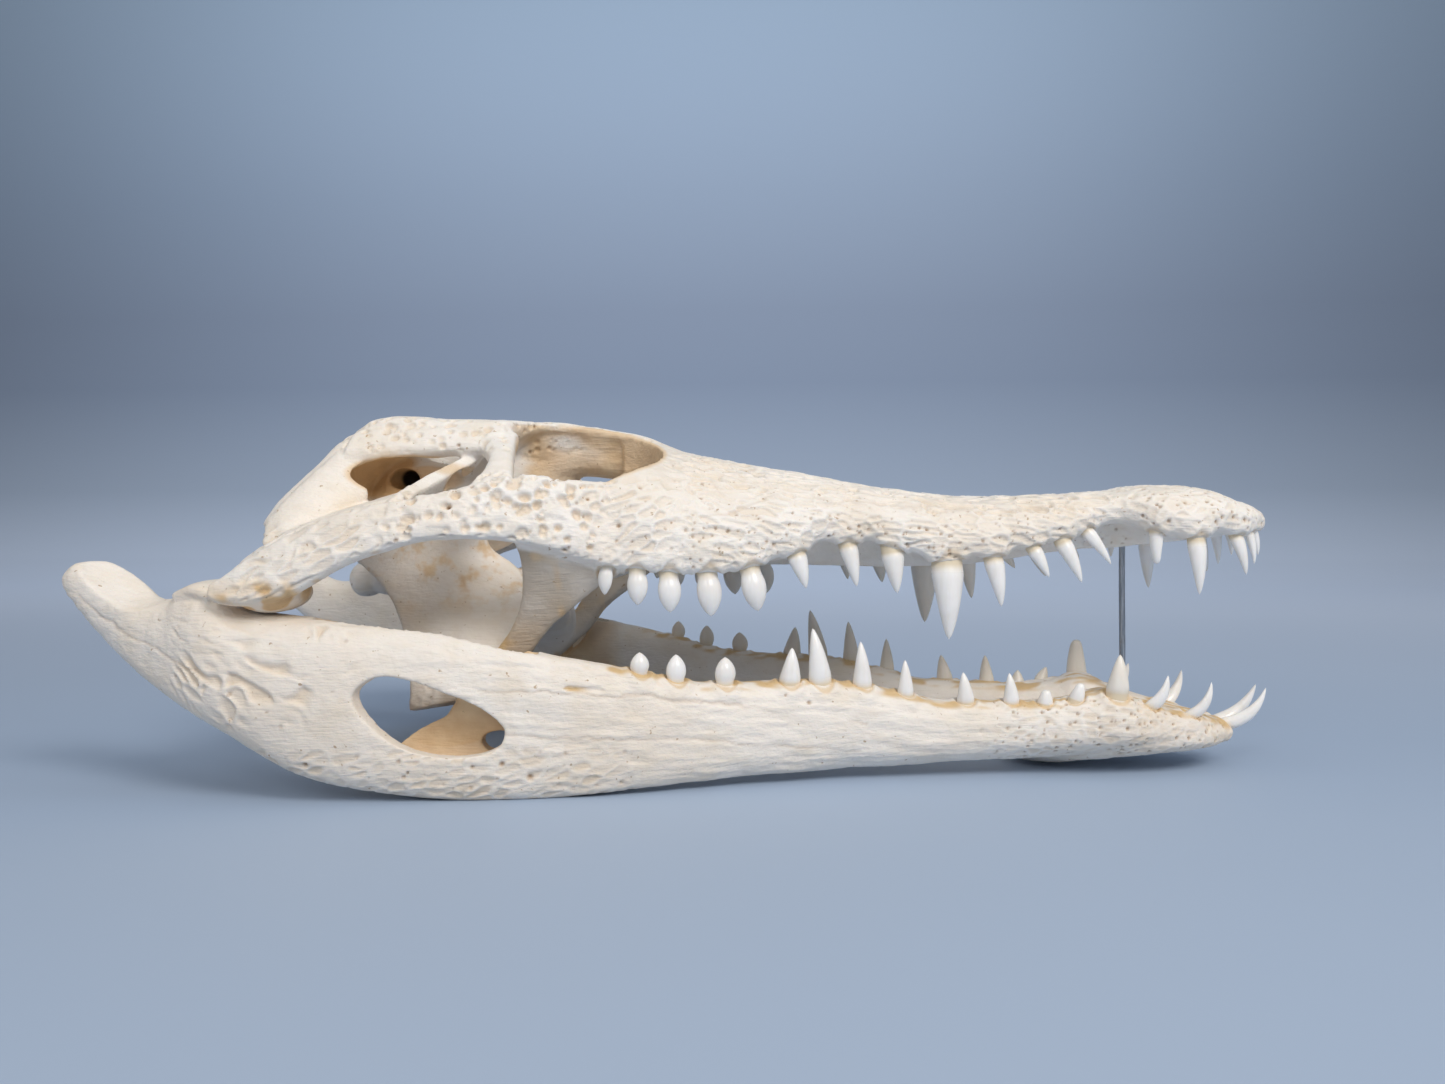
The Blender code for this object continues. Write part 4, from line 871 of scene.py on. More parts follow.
def cranium_relief(p, n):
    """How far the upper skull's surface moves along its normal, and what its look reads."""
    # Parts of the surface, each a share from 0 to 1.
    x, y, z = p.T
    side, out = np.abs(y), n[:, 1] * np.sign(y)
    half = np.stack([x, side, z], axis=1)
    orbit = hollow(half, (ORBIT_CUT, ORBIT_DEEP_CUT), 1.01, 1.09)
    temple = hollow(half, (EAR_POCKET_CUT, EAR_CUT), 1.04, 1.16)
    inner = np.maximum.reduce(
        [orbit, temple, hollow(half, (PALATE_CUT, NASAL_CUT, TEMPORAL_CUT)), hollow(p, (NARIS_CUT,))]
    )
    outer = ramp(n[:, 2] + 0.9 * out, -0.05, 0.4) * (1 - inner)
    low = np.interp(x, *CHEEK_LOW)
    strap = window(x, -112, -40, 2) * (1 - ramp(z, low - 2.6, low - 0.8)) * ramp(side, 42, 46)
    outer *= 1 - strap
    cheek = window(x, -122, -36, 7) * ramp(side, 44, 52) * (1 - ramp(z, 99, 103)) * outer
    strut = ramp(z, 89, 92) * (1 - ramp(side, 58, 63)) * (1 - ramp(x, -83, -79))
    cheek *= 1 - strut
    bar = window(x, -163, -122, 5) * ramp(side, 62, 68) * outer
    table = window(x, -147, -84, 3) * ramp(z, 103.5, 107) * outer
    brow = window(x, -84, -38, 4) * ramp(z, 106, 110) * outer
    brow = np.maximum(brow, 0.8 * window(x, -40, -10, 5) * ramp(z, 93, 97) * outer)
    snout_skin = ramp(x, -46, -30) * outer
    front = ramp(x, 96, 112) * outer
    behind = snout_skin * (1 - front) * (1 - cheek)

    # The pits end below the smooth upper edge of the cheek bar, under the orbit.
    honey = cheek * window(x, -119, -58, 9) * (1 - 0.75 * ramp(z, 94, 97) * window(x, -84, -52, 4))
    flow = cheek * (1 - window(x, -119, -58, 9))
    tilted = np.stack([x + 0.6 * z, y, z - 0.55 * x], axis=1)
    pit = where(honey, bowls((3.6, 3.6, 3.3), 3, 0.66, 0.3), p)
    coarse = where(honey, pits((7.6, 6.0, 5.4), 103, 0.3, 0.35), p)
    pit_bar = where(np.maximum(bar, flow), pits((11.0, 5.0, 3.2), 5, 0.35, 0.34), tilted)
    pit_table = where(table, bowls((3.2, 3.2, 3.2), 7, 0.56), p)
    pit_brow = where(brow, bowls((4.2, 3.8, 3.8), 9, 0.55), p)
    slanted = np.stack([x - 0.3 * z, y, z + 0.14 * x], axis=1)
    ridge = where(behind, pits((9.0, 3.4, 2.2), 13, 0.6, 0.3), slanted)
    strand = where(behind, lambda q: noise(q / (6.0, 2.2, 1.1), 15), slanted)
    bumps = where(front, pits((4.6, 4.0, 3.2), 17, 0.4, 0.4), p)
    depth = 0.34 * noise(p / 13, 1) + 0.16 * noise(p / 4.4, 2) + 0.07 * noise(p / 1.7, 4)
    depth += 0.65 * honey - 2.1 * pit - 0.6 * coarse
    depth += 0.3 * np.maximum(bar, flow) - 1.0 * pit_bar
    depth += 0.3 * table - 1.0 * pit_table
    depth += 0.2 * brow - 0.8 * pit_brow
    crest = 1 + 0.7 * ramp(n[:, 2], 0.5, 0.9)
    depth += crest * (0.25 * behind - 0.75 * ridge + 0.24 * strand)
    depth += 0.2 * front - 0.55 * bumps

    # Small holes for nerves.
    margin = snout_skin * window(z, 66, 86, 4) * ramp(side, 14, 20)
    holes = where(np.maximum(front, 0.9 * margin), pores(2.2, 0.6, 23), p)
    holes = np.maximum(holes, where(np.maximum(cheek, table), pores(3.8, 0.7, 29), p))
    holes = np.maximum(holes, where(np.maximum(behind, brow), pores(4.2, 0.5, 31), p))
    depth -= 0.8 * holes

    # Seams between bones.
    seam = np.exp(-((seams(half, CRANIUM_SEAMS) / 0.42) ** 2)) * ramp(out, 0.2, 0.5) * outer
    seam *= ramp(noise(p / 9, 73), -0.5, 0.3)
    midline = np.exp(-(((y + 0.8 * noise(p / 4, 71)) / 0.42) ** 2)) * ramp(n[:, 2], 0.6, 0.9)
    midline *= window(x, -40, 112, 3) * (1 - inner)
    seam = np.maximum(seam, midline)
    depth -= 0.22 * seam

    teeth_here = tooth_places("upper", "right", -1) + tooth_places("upper", "left", 1)
    rim, gap = sockets(p, teeth_here)
    depth += 0.55 * rim - 0.3 * gap

    # Stains, and painted shade in the hollows: the orbits, the ear pockets and the temple behind them,
    # under the roof over the orbits, and on inward faces.
    wing = window(x, -142, -86, 4) * (1 - ramp(z, 84, 90)) * (1 - ramp(side, 60, 66)) * (1 - cheek)
    wing *= 1 - 0.8 * strap
    joint = (1 - ramp(x, -146, -141)) * (1 - ramp(z, 62, 67)) * ramp(side, 40, 50)
    blotch = 0.5 + 0.5 * noise(p / 9, 41)
    smear = noise(p / 5, 45) + 0.6 * noise(p / 2, 46) + 0.4 * noise(p / 0.8, 49)
    smear = ramp(z, 48, 66) * ramp(smear, -0.2, 1.1)
    # Painted shade on the downward faces under the roof over the orbits.
    socket = window(x, -93, -36, 3) * (1 - ramp(side, 38, 46)) * (1 - ramp(n[:, 2], 0.1, 0.5))
    socket *= ramp(z, 84, 90) * (1 - brow)
    hollow_shade_and_discolour = np.maximum.reduce(
        [
            0.45 * temple,
            window(x, -147, -128, 3)
            * window(z, 91, 105, 2.5)
            * (1 - ramp(side, 43, 47))
            * (0.75 + 0.25 * blotch),
            0.52 * orbit,
            socket * (0.36 + 0.25 * blotch),
            wing * (0.02 + 0.12 * blotch + 0.5 * smear),
            joint * (0.2 + 0.75 * ramp(noise(p / 4, 47), -0.3, 0.3)),
        ]
    )
    # Patches of painted shade and staining on inward faces behind the snout.
    hollow_shade_and_discolour = np.maximum(hollow_shade_and_discolour, 0.5 * ramp(noise(p / 6, 43), 0.5, 0.9) * (1 - outer) * (1 - ramp(x, -60, -30)))
    # Painted shade and brown dirt at the bottoms of the pits and grooves.
    pit_shade_and_dirt = np.maximum.reduce([pit, 0.6 * pit_bar, 0.8 * pit_table, 0.5 * ridge, 0.5 * bumps, pit_brow])
    # Painted shade: near black inside the hole behind the ear opening, where no light reaches.
    cave_shade = hollow(half, (((-130.0, 20.0, 97.4), (4.2, 7.0, 3.4), 0.0),), 0.9, 1.2)
    ragged = np.exp(-(((x + 92 + 2 * noise(p / 3, 77)) / 2.6) ** 2)) * window(z, 41, 58, 4)
    ragged *= ramp(side, 40, 44)
    rust = 0.55 * joint * ramp(noise(p / 3, 48), -0.1, 0.3) * (1 - ramp(z, 55, 58))
    return depth, {
        "hollow_shade_and_discolour": np.clip(hollow_shade_and_discolour, 0, 1),
        "pit_shade_and_dirt": np.clip(pit_shade_and_dirt, 0, 1),
        # Painted shade in the small holes for nerves, and the seams as brown lines.
        "hole_shade_and_seam": np.clip(np.maximum(holes, 0.2 * seam), 0, 1),
        # Amber stains at the tooth rims, a broken edge and the joint, with painted shade in the gap
        # round each tooth.
        "stain_and_gap_shade": np.clip(np.maximum.reduce([0.4 * gap, 0.8 * ragged, rust]), 0, 1),
        # Painted shade on the plate below the cheek's lower edge, where the cheek shades it.
        "under_cheek_shade": np.clip(strap * (0.75 + 0.25 * noise(p / 8, 79)), 0, 1),
        "painted_hole_shade": np.clip(cave_shade, 0, 1),
    }


def ramus_relief(side_sign, word):
    """As cranium_relief, for one half of the lower jaw."""

    def measure(p, n):
        x, y, z = p.T
        side, out = np.abs(y), n[:, 1] * side_sign
        half = np.stack([x, side, z], axis=1)
        columns = np.array([at(RAMUS, v) for v in np.arange(-224.0, 147.0)])
        spot = np.clip(x, -224, 146) + 224
        wide, thick, top = (np.interp(spot, np.arange(len(columns)), columns[:, k]) for k in range(3))
        # The outer face is the half of the bone that lies away from the skull's middle.
        skin = ramp(side, wide - 0.62 * thick, wide - 0.5 * thick)
        hole = np.linalg.norm((np.stack([x, z], axis=1) - (-106.5, 25.5)) / (21.5, 12.5), axis=1)
        outer = ramp(out - 0.35 * n[:, 2], -0.1, 0.35) * skin
        keep = ramp(z, 0.3, 1.6) * ramp(np.abs(y), 0.5, 1.6)
        turn = np.arctan2(z - 60, x + 200)
        far = np.hypot(x + 200, z - 60)
        swirl = np.stack([far, turn * 42, y], axis=1)
        rear = window(x, -181, -129, 6) * window(z, 24, 53, 4) * outer
        angle = window(x, -172, -52, 8) * (1 - ramp(z, 13, 19)) * outer
        front = ramp(x, 52, 74) * outer
        middle = ramp(x, -128, -112) * outer * (1 - 0.6 * front)
        tail = (1 - ramp(x, -192, -182)) * outer

        grooves = where(rear, pits((19.0, 4.0, 9.0), 33, 0.5, 0.42), swirl)
        grooves *= ramp(noise(p / 9, 36), -0.45, 0.25)
        slanted = np.stack([x + 0.4 * z, y, z - 0.25 * x], axis=1)
        pit = where(angle, pits((7.0, 4.6, 2.8), 35, 0.35, 0.4), slanted)
        bumps = where(front, pits((4.8, 3.2, 2.4), 37, 0.4, 0.36), p)
        depth = 0.3 * noise(p / 15, 51) + 0.12 * noise(p / 4.4, 52) + 0.05 * noise(p / 1.7, 53)
        depth += 0.4 * rear - 1.7 * grooves
        depth += 0.12 * angle - 0.6 * pit
        depth += 0.1 * front - 0.3 * bumps
        strands = np.stack([x / 22 + z / 60, y / 3, (z + 0.1 * x) / 1.5], axis=1)
        fine = np.stack([x / 12, y / 3, z / 0.9], axis=1)
        depth += (0.25 * noise(strands, 54) + 0.13 * noise(fine, 55)) * (middle + 0.5 * tail)

        holes = where(front, pores(2.2, 0.6, 43), p)
        row = window(x, -150, -50, 6) * window(z, 4, 14, 3) * outer
        holes = np.maximum(holes, where(row, pores(3.9, 0.8, 45), p))
        edge = window(x, -50, 60, 8) * outer * ramp(z, top - 11, top - 7)
        holes = np.maximum(holes, where(np.maximum(0.9 * edge, 0.9 * rear), pores(5.4, 0.75, 47), p))
        slit = np.abs(z - 32.6 + 0.09 * (x + 62)) / 0.7 + ramp(np.abs(x + 63), 4, 9) * 3
        slit = (1 - ramp(slit, 0.5, 1.5)) * outer
        depth -= 0.8 * holes + 0.8 * slit

        seam = np.exp(-((seams(half, RAMUS_SEAMS) / 0.4) ** 2)) * ramp(out, 0.2, 0.5) * skin
        seam *= ramp(noise(p / 11, 59), -0.7, 0.1)
        depth -= 0.34 * seam
        rim, gap = sockets(p, tooth_places("lower", word, side_sign))
        depth += 0.6 * rim - 0.35 * gap
        depth *= keep

        # Painted shade on the inner side of the jaw and round the inside of its opening, in blotches.
        inner = (1 - skin) * window(x, -146, -74, 5)
        lip = ramp(z, top - 2.6, top - 1.2) * window(x, -62, 146, 3)
        crust = lip * ramp(noise(p / (5, 2, 2), 57), -0.35, 0.35)
        crust = np.maximum(crust, slit * ramp(-x, 60, 66))
        rim_in = (1 - ramp(hole, 0.86, 1.02)) * window(x, -130, -84, 3)
        hollow_shade_and_discolour = np.maximum(inner * (0.55 + 0.25 * noise(p / 11, 58)), 0.6 * rim_in * (1 - skin))
        hollow_shade_and_discolour = np.maximum(hollow_shade_and_discolour, 0.075)
        return depth, {
            "hollow_shade_and_discolour": np.clip(hollow_shade_and_discolour, 0, 1),
            "pit_shade_and_dirt": np.clip(np.maximum.reduce([grooves, 0.8 * pit, 0.6 * bumps]), 0, 1),
            "hole_shade_and_seam": np.clip(np.maximum(holes, 0.3 * seam), 0, 1) * keep,
            "stain_and_gap_shade": np.clip(np.maximum(0.5 * gap, 0.85 * crust), 0, 1),
            "under_cheek_shade": np.zeros(len(p)),
            "painted_hole_shade": np.zeros(len(p)),
        }

    return measure


def carve(obj, measure):
    """Moves the surface in and out, and writes what the bone's material reads."""
    mesh = obj.data
    places, facing = read(mesh.vertices, "co") / MM, read(mesh.vertex_normals, "vector")
    depth, marks = measure(places, facing)
    moved = (places + facing * depth[:, None]) * MM
    mesh.vertices.foreach_set("co", moved.astype(np.float32).ravel())
    for name, values in marks.items():
        layer = mesh.attributes.new(name, "FLOAT", "POINT")
        layer.data.foreach_set("value", values.astype(np.float32))
    mesh.update()


def melt(obj):
    remesh = obj.modifiers.new("melt", "REMESH")
    remesh.mode = "VOXEL"
    remesh.voxel_size = FINE * MM
    smooth = obj.modifiers.new("smooth", "SMOOTH")
    smooth.factor = 0.5
    smooth.iterations = max(2, round(4 * MELT**2 / FINE**2))
    apply_modifiers(obj)
    keep_largest_body(obj)


def place(obj, name, slot, look, *nodes):
    obj.name = name
    obj.data.name = name
    obj.data.materials.clear()
    obj.data.materials.append(look)
    obj.data.transform(Matrix.Translation((FORWARD * MM, 0, 0)))
    obj.data.shade_smooth()
    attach(obj, "root")
    if nodes:
        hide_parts(*nodes)


def rod_cutter(collection):
    rod_shape("socket", collection, GAP)


def build_bones(look):
    work = new_collection("bones_in_work")
    first_cut, pieces = new_collection("snout_cutters"), new_collection("pieces")
    cranium = snout(work)
    snout_cutters(first_cut)
    use(cranium, "DIFFERENCE", first_cut)
    cranium_pieces(pieces)
    use(cranium, "UNION", pieces)
    second_cut = new_collection("cranium_cutters")
    cranium_cutters(second_cut)
    use(cranium, "DIFFERENCE", second_cut)
    melt(cranium)
    seat_source = cranium.copy()
    seat_source.data = cranium.data.copy()
    work.objects.link(seat_source)
    for word, side in SIDES:
        body = ramus(work, side)
        bones, cutters, strut = (new_collection(n) for n in ("jaw_bones", "jaw_cutters", "strut"))
        ramus_pieces(bones, side)
        use(body, "UNION", bones)
        ramus_cutters(cutters, side)
        use(body, "DIFFERENCE", cutters)
        plate("coronoid", CORONOID, strut, side)
        use(body, "UNION", strut)
        melt(body)
        halves = new_collection("halves")
        near, far = side * GAP / 2, -side * 60.0
        box("other_half", (60, min(near, far), -20), (170, max(near, far), 60), halves)
        box("under_table", (-240, -100, -20), (170, 100, 0), halves)
        seat = seat_source.copy()
        seat.data = seat_source.data.copy()
        halves.objects.link(seat)
        grow = seat.modifiers.new("grow", "DISPLACE")
        grow.mid_level = 0.0
        grow.strength = 2 * GAP * MM
        apply_modifiers(seat)
        rod_cutter(halves)
        use(body, "DIFFERENCE", halves)
        keep_largest_body(body)
        carve(body, ramus_relief(side, word))
        place(body, f"lower_jaw_{word}", "bone", look, f"mandible_{word}")
    bpy.data.objects.remove(seat_source)
    socket = new_collection("rod_socket")
    rod_cutter(socket)
    use(cranium, "DIFFERENCE", socket)
    carve(cranium, cranium_relief)
    place(cranium, "upper_skull", "bone", look, "cranium")


def crown(base, tip, normal, thick, profile, curl, name, collection):
    """A tooth: a tapered, slightly flattened body with an edge fore and aft, bent inwards."""
    axis = (tip - base).normalized()
    along_jaw = axis.cross(normal).normalized()
    across = axis.cross(along_jaw).normalized()
    length = (tip - base).length
    flat = 0.74 if profile is BLUNT else 0.84
    under = (axis * axis.z - Vector((0, 0, 1))).normalized()
    sections, necks = [], []
    shares = [-TOOTH_ROOT / length * 0.8, -1.2 / length]
    shares += [math.sin(math.pi / 2 * i / CROWN_RINGS) for i in range(CROWN_RINGS + 1)]
    for share in shares:
        size = at(profile, max(0.0, share))[0]
        held = max(0.0, share)
        bend = (across * -0.2 + under * curl) * length * held * (1 - held)
        middle = base + axis * length * share + bend
        ring = []
        for k in range(CROWN_SIDES):
            turn = 2 * math.pi * k / CROWN_SIDES
            edge = 1 + 0.07 * abs(math.cos(turn)) ** 14 - 0.015 * math.cos(7 * turn) * (1 - held)
            spoke = along_jaw * math.cos(turn) + across * flat * math.sin(turn)
            ring.append(middle + spoke * thick / 2 * size * edge)
        sections.append(ring)
        necks += [1.0 - min(1.0, max(0.0, share / (0.2 if profile is BLUNT else 0.1)))] * CROWN_SIDES
    made = loft(name, sections, collection)
    layer = made.data.attributes.new("neck", "FLOAT", "POINT")
    layer.data.foreach_set("value", necks + [1.0, 0.0])
    return made


def build_teeth(look):
    for jaw, blunt_from in (("upper", BLUNT_FROM_UPPER), ("lower", BLUNT_FROM_LOWER)):
        for word, side in SIDES:
            row = new_collection(f"{jaw}_{word}")
            joined = bmesh.new()
            for i, (base, tip, normal, thick) in enumerate(tooth_places(jaw, word, side)):
                profile = BLUNT if i >= blunt_from else SHARP
                if (jaw, word, i) in WORN_TEETH:
                    profile = WORN
                curl = CURL.get(i, 0.0) if jaw == "lower" else 0.0
                made = crown(base, tip, normal, thick, profile, curl, f"tooth_{i + 1}", row)
                # The lower fourth tooth is yellowed; the far side's rear teeth get painted shade as
                # brown.
                if (jaw == "lower" and i == 3) or (word == "left" and i > 3):
                    neck = made.data.attributes["neck"].data
                    for item in neck:
                        item.value = TOOTH_BROWN_AND_SHADE + (1 - TOOTH_BROWN_AND_SHADE) * item.value
                joined.from_mesh(made.data)
                bpy.data.objects.remove(made)
            name = f"teeth_{jaw}_{word}"
            place(finished(joined, name, row), name, "bone", look)


WIRE_RINGS, WIRE_SIDES = 60, 20


def build_wire(look):
    """The rod: drawn wire, a little bent and dented."""
    chance = random.Random("rod")
    dents = [chance.uniform(-0.05, 0.05) for _ in range(WIRE_RINGS)]
    sections = []
    for i in range(WIRE_RINGS):
        t = i / (WIRE_RINGS - 1)
        z = ROD_LOW + (ROD_HIGH - ROD_LOW) * t
        shift = 0.16 * math.sin(math.pi * t) * math.sin(5 * t + 0.6)
        radius = (ROD_RADIUS - 0.12) * (1 + dents[i] * 0.5)
        ring = []
        for k in range(WIRE_SIDES):
            turn = 2 * math.pi * k / WIRE_SIDES
            ring.append((ROD_X + shift + radius * math.cos(turn), radius * math.sin(turn), z))
        sections.append(ring)
    obj = loft("wire", sections, new_collection("wire"))
    place(obj, "prop_wire", "rod", look, "prop_rod")


def feed(tree, made, inputs):
    """Joins sockets to a node's inputs, and sets plain values."""
    for key, value in inputs.items():
        if isinstance(value, bpy.types.NodeSocket):
            tree.links.new(value, made.inputs[key])
        else:
            made.inputs[key].default_value = value


def node(tree, kind, inputs=None, **settings):
    made = tree.nodes.new("ShaderNode" + kind)
    for key, value in settings.items():
        setattr(made, key, value)
    feed(tree, made, inputs or {})
    return made


def mix(tree, share, first, second):
    """Mixes two colours by a share, each a socket or a plain value."""
    pair = [c if isinstance(c, bpy.types.NodeSocket) else (*c, 1.0) for c in (first, second)]
    made = node(tree, "Mix", {0: share, 6: pair[0], 7: pair[1]}, data_type="RGBA")
    return made.outputs[2]


def times(tree, first, second):
    made = node(tree, "Math", {0: first, 1: second}, operation="MULTIPLY", use_clamp=True)
    return made.outputs[0]


def new_look(name):
    made = bpy.data.materials.new(name)
    made.use_nodes = True
    return made, made.node_tree, made.node_tree.nodes["Principled BSDF"]


def noisy(tree, scale, vector, detail):
    inputs = {"Scale": scale, "Detail": detail, "Vector": vector}
    return node(tree, "TexNoise", inputs).outputs["Fac"]


def spread_out(tree, value, low=0.0, high=1.0, start=0.0, end=1.0):
    """A value from low to high, taken to one from start to end."""
    span = {"Value": value, "From Min": low, "From Max": high, "To Min": start, "To Max": end}
    return node(tree, "MapRange", span, clamp=True).outputs["Result"]


def spots(tree, scale, vector, detail=3.0, low=0.4, high=0.6):
    """A soft mask from noise."""
    return spread_out(tree, noisy(tree, scale, vector, detail), low, high)


def stretch(tree, vector, scale):
    return node(tree, "Mapping", {"Vector": vector, "Scale": scale}).outputs["Vector"]


def bump(tree, height, strength, distance, under=None):
    """The direction of a surface with a height on it, on top of another such direction."""
    inputs = {"Height": height, "Strength": strength, "Distance": distance}
    if under is not None:
        inputs["Normal"] = under
    return node(tree, "Bump", inputs).outputs[0]


def bone_look():
    """Cream bone with clouds, streaks and stains, painted shade in pits, holes, hollows and under the
    cheek, and what carve wrote on its surface.
    """
    look, tree, shader = new_look("bone_fine")
    spot = node(tree, "TexCoord").outputs["Object"]
    mark = {}
    for name in ("hollow_shade_and_discolour", "pit_shade_and_dirt", "hole_shade_and_seam", "stain_and_gap_shade", "under_cheek_shade", "painted_hole_shade"):
        mark[name] = node(tree, "Attribute", attribute_name=name).outputs["Fac"]
    colour = mix(tree, spots(tree, 26, spot), (0.9, 0.84, 0.765), (0.94, 0.905, 0.855))
    warm = times(tree, spots(tree, 70, spot, 5.0, 0.5, 0.7), 0.55)
    colour = mix(tree, warm, colour, (0.85, 0.765, 0.645))
    along = stretch(tree, spot, (0.35, 1.0, 1.0))
    streak = times(tree, spots(tree, 240, along, 4.0, 0.5, 0.75), 0.36)
    colour = mix(tree, streak, colour, (0.78, 0.7, 0.58))
    # Painted shade and brown dirt in the pits and grooves.
    colour = mix(tree, times(tree, mark["pit_shade_and_dirt"], 0.75), colour, (0.72, 0.58, 0.42))
    # Painted shade below the cheek's lower edge.
    colour = mix(tree, mark["under_cheek_shade"], colour, (0.51, 0.42, 0.32))
    # Painted shade in hollows and on inward faces, mixed with real stains: yellow-brown, going to strong
    # brown where it is heaviest.
    blotch = spots(tree, 110, spot, 6.0, 0.3, 0.7)
    hollow_shade_and_discolour = mix(tree, blotch, (0.68, 0.45, 0.23), (0.84, 0.63, 0.38))
    colour = mix(tree, times(tree, mark["hollow_shade_and_discolour"], 1.5), colour, hollow_shade_and_discolour)
    brown = spread_out(tree, mark["hollow_shade_and_discolour"], 0.72, 1.0, 0.0, 0.85)
    colour = mix(tree, times(tree, brown, blotch), colour, (0.34, 0.17, 0.06))
    # Amber stains, and painted shade in the gap round each tooth.
    colour = mix(tree, mark["stain_and_gap_shade"], colour, (0.68, 0.46, 0.2))
    speck = spots(tree, 520, spot, 2.0, 0.7, 0.76)
    colour = mix(tree, times(tree, speck, 0.75), colour, (0.42, 0.28, 0.15))
    # Painted shade in the small holes, and brown seam lines.
    colour = mix(tree, times(tree, mark["hole_shade_and_seam"], 0.9), colour, (0.3, 0.165, 0.07))
    # Painted shade: near black in the hole behind the ear opening.
    colour = mix(tree, mark["painted_hole_shade"], colour, (0.02, 0.012, 0.008))
    rough = spread_out(tree, spots(tree, 160, spot, 4.0, 0.3, 0.7), 0.0, 1.0, 0.42, 0.62)
    # Lumps, then fibres along the bone, then grain.
    fibre = stretch(tree, spot, (0.12, 1.0, 1.0))
    facing = bump(tree, noisy(tree, 330, spot, 4.0), 0.7, 0.0005)
    facing = bump(tree, noisy(tree, 1300, fibre, 5.0), 0.8, 0.00035, facing)
    facing = bump(tree, noisy(tree, 900, spot, 6.0), 0.35, 0.00015, facing)
    inputs = {"Base Color": colour, "Roughness": rough, "Normal": facing, "Specular IOR Level": 0.4}
    inputs["Subsurface Weight"] = 0.06
    inputs["Subsurface Radius"] = (0.003, 0.0018, 0.001)
    inputs["Subsurface Scale"] = 1.0
    feed(tree, shader, inputs)
    return look


def tooth_look():
    look, tree, shader = new_look("tooth_enamel")
    spot = node(tree, "TexCoord").outputs["Object"]
    neck = node(tree, "Attribute", attribute_name="neck").outputs["Fac"]
    colour = mix(tree, spots(tree, 120, spot), (0.93, 0.91, 0.885), (0.97, 0.96, 0.945))
    fibre = stretch(tree, spot, (1.0, 1.0, 0.12))
    line = times(tree, spots(tree, 700, fibre, 3.0, 0.45, 0.75), 0.3)
    colour = mix(tree, line, colour, (0.84, 0.8, 0.72))
    colour = mix(tree, times(tree, neck, 0.85), colour, (0.8, 0.67, 0.46))
    rough = spread_out(tree, neck, 0.0, 1.0, 0.24, 0.5)
    facing = bump(tree, noisy(tree, 900, fibre, 3.0), 0.25, 0.00012)
    inputs = {"Base Color": colour, "Roughness": rough, "Normal": facing}
    inputs["Subsurface Weight"] = 0.15
    inputs["Subsurface Radius"] = (0.002, 0.0016, 0.0012)
    inputs["Subsurface Scale"] = 1.0
    feed(tree, shader, inputs)
    return look


def wire_look():
    look, tree, shader = new_look("drawn_wire")
    spot = node(tree, "TexCoord").outputs["Object"]
    along = stretch(tree, spot, (1.0, 1.0, 0.05))
    streak = spots(tree, 2500, along, 4.0, 0.35, 0.65)
    colour = mix(tree, streak, (0.3, 0.33, 0.37), (0.5, 0.53, 0.57))
    tarnish = spots(tree, 160, spot, 4.0, 0.55, 0.7)
    colour = mix(tree, times(tree, tarnish, 0.5), colour, (0.26, 0.22, 0.19))
    rough = spread_out(tree, streak, 0.0, 1.0, 0.28, 0.48)
    facing = bump(tree, noisy(tree, 2600, along, 3.0), 0.3, 0.0001)
    inputs = {"Base Color": colour, "Roughness": rough, "Normal": facing, "Metallic": 1.0}
    feed(tree, shader, inputs)
    return look


# The sheet under and behind the skull, in metres: front edge, start and radius of its bend,
# height of its top, half its width, and how far it lies under the skull.
SHEET_FRONT, SHEET_BEND, SHEET_RADIUS = -3.0, 1.2, 0.9
SHEET_TOP, SHEET_HALF, SHEET_UNDER = 3.2, 4.0, 0.0002
# Colours of the level part: two random tones, and a lighter far one, which is painted light.
FLOOR_LOW, FLOOR_HIGH, FLOOR_FAR_PAINTED_LIGHT = (0.385, 0.485, 0.64), (0.405, 0.505, 0.66), (0.5, 0.585, 0.725)
# Where the level part turns to its lighter far colour, which is painted light, in metres behind the
# skull's middle.
FAR_FROM, FAR_TO = 0.05, 0.7
# Painted light and shade of the sheet where it rises, darker up its middle and lighter at its top: from
# which height, up to which, colour.
PAINTED_BACKDROP_SHADING = (
    (0.0, 0.03, (0.46, 0.54, 0.67)),
    (0.04, 0.17, (0.315, 0.385, 0.495)),
    (0.17, 0.42, (0.213, 0.272, 0.378)),
    (0.6, 1.5, (0.34, 0.455, 0.6)),
)


def build_floor():
    """A pale sheet that runs level under the skull and curves up far behind it, with painted light and
    shade graded along it.
    """
    profile = [(SHEET_FRONT, 0.0), (SHEET_BEND, 0.0)]
    for turn in np.linspace(0.1, math.pi / 2, 16):
        y = SHEET_BEND + SHEET_RADIUS * math.sin(turn)
        profile.append((y, SHEET_RADIUS - SHEET_RADIUS * math.cos(turn)))
    profile.append((SHEET_BEND + SHEET_RADIUS, SHEET_TOP))
    mesh = bmesh.new()
    rows = [[mesh.verts.new((x, y, z)) for y, z in profile] for x in (-SHEET_HALF, SHEET_HALF)]
    for i in range(len(profile) - 1):
        mesh.faces.new((rows[0][i], rows[1][i], rows[1][i + 1], rows[0][i + 1]))
    floor = finished(mesh, "studio_floor", bpy.context.scene.collection)
    floor.data.shade_smooth()
    floor.location.z = -SHEET_UNDER
    look, tree, shader = new_look("studio_paper")
    spot = node(tree, "TexCoord").outputs["Object"]
    along = node(tree, "SeparateXYZ", {"Vector": spot}).outputs
    colour = mix(tree, spots(tree, 1.5, spot, 2.0), FLOOR_LOW, FLOOR_HIGH)
    colour = mix(tree, spread_out(tree, along["Y"], FAR_FROM, FAR_TO), colour, FLOOR_FAR_PAINTED_LIGHT)
    # Painted light and shade up the rising part.
    for low, high, shade in PAINTED_BACKDROP_SHADING:
        colour = mix(tree, spread_out(tree, along["Z"], low, high), colour, shade)
    feed(tree, shader, {"Base Color": colour, "Roughness": 0.6})
    floor.data.materials.append(look)


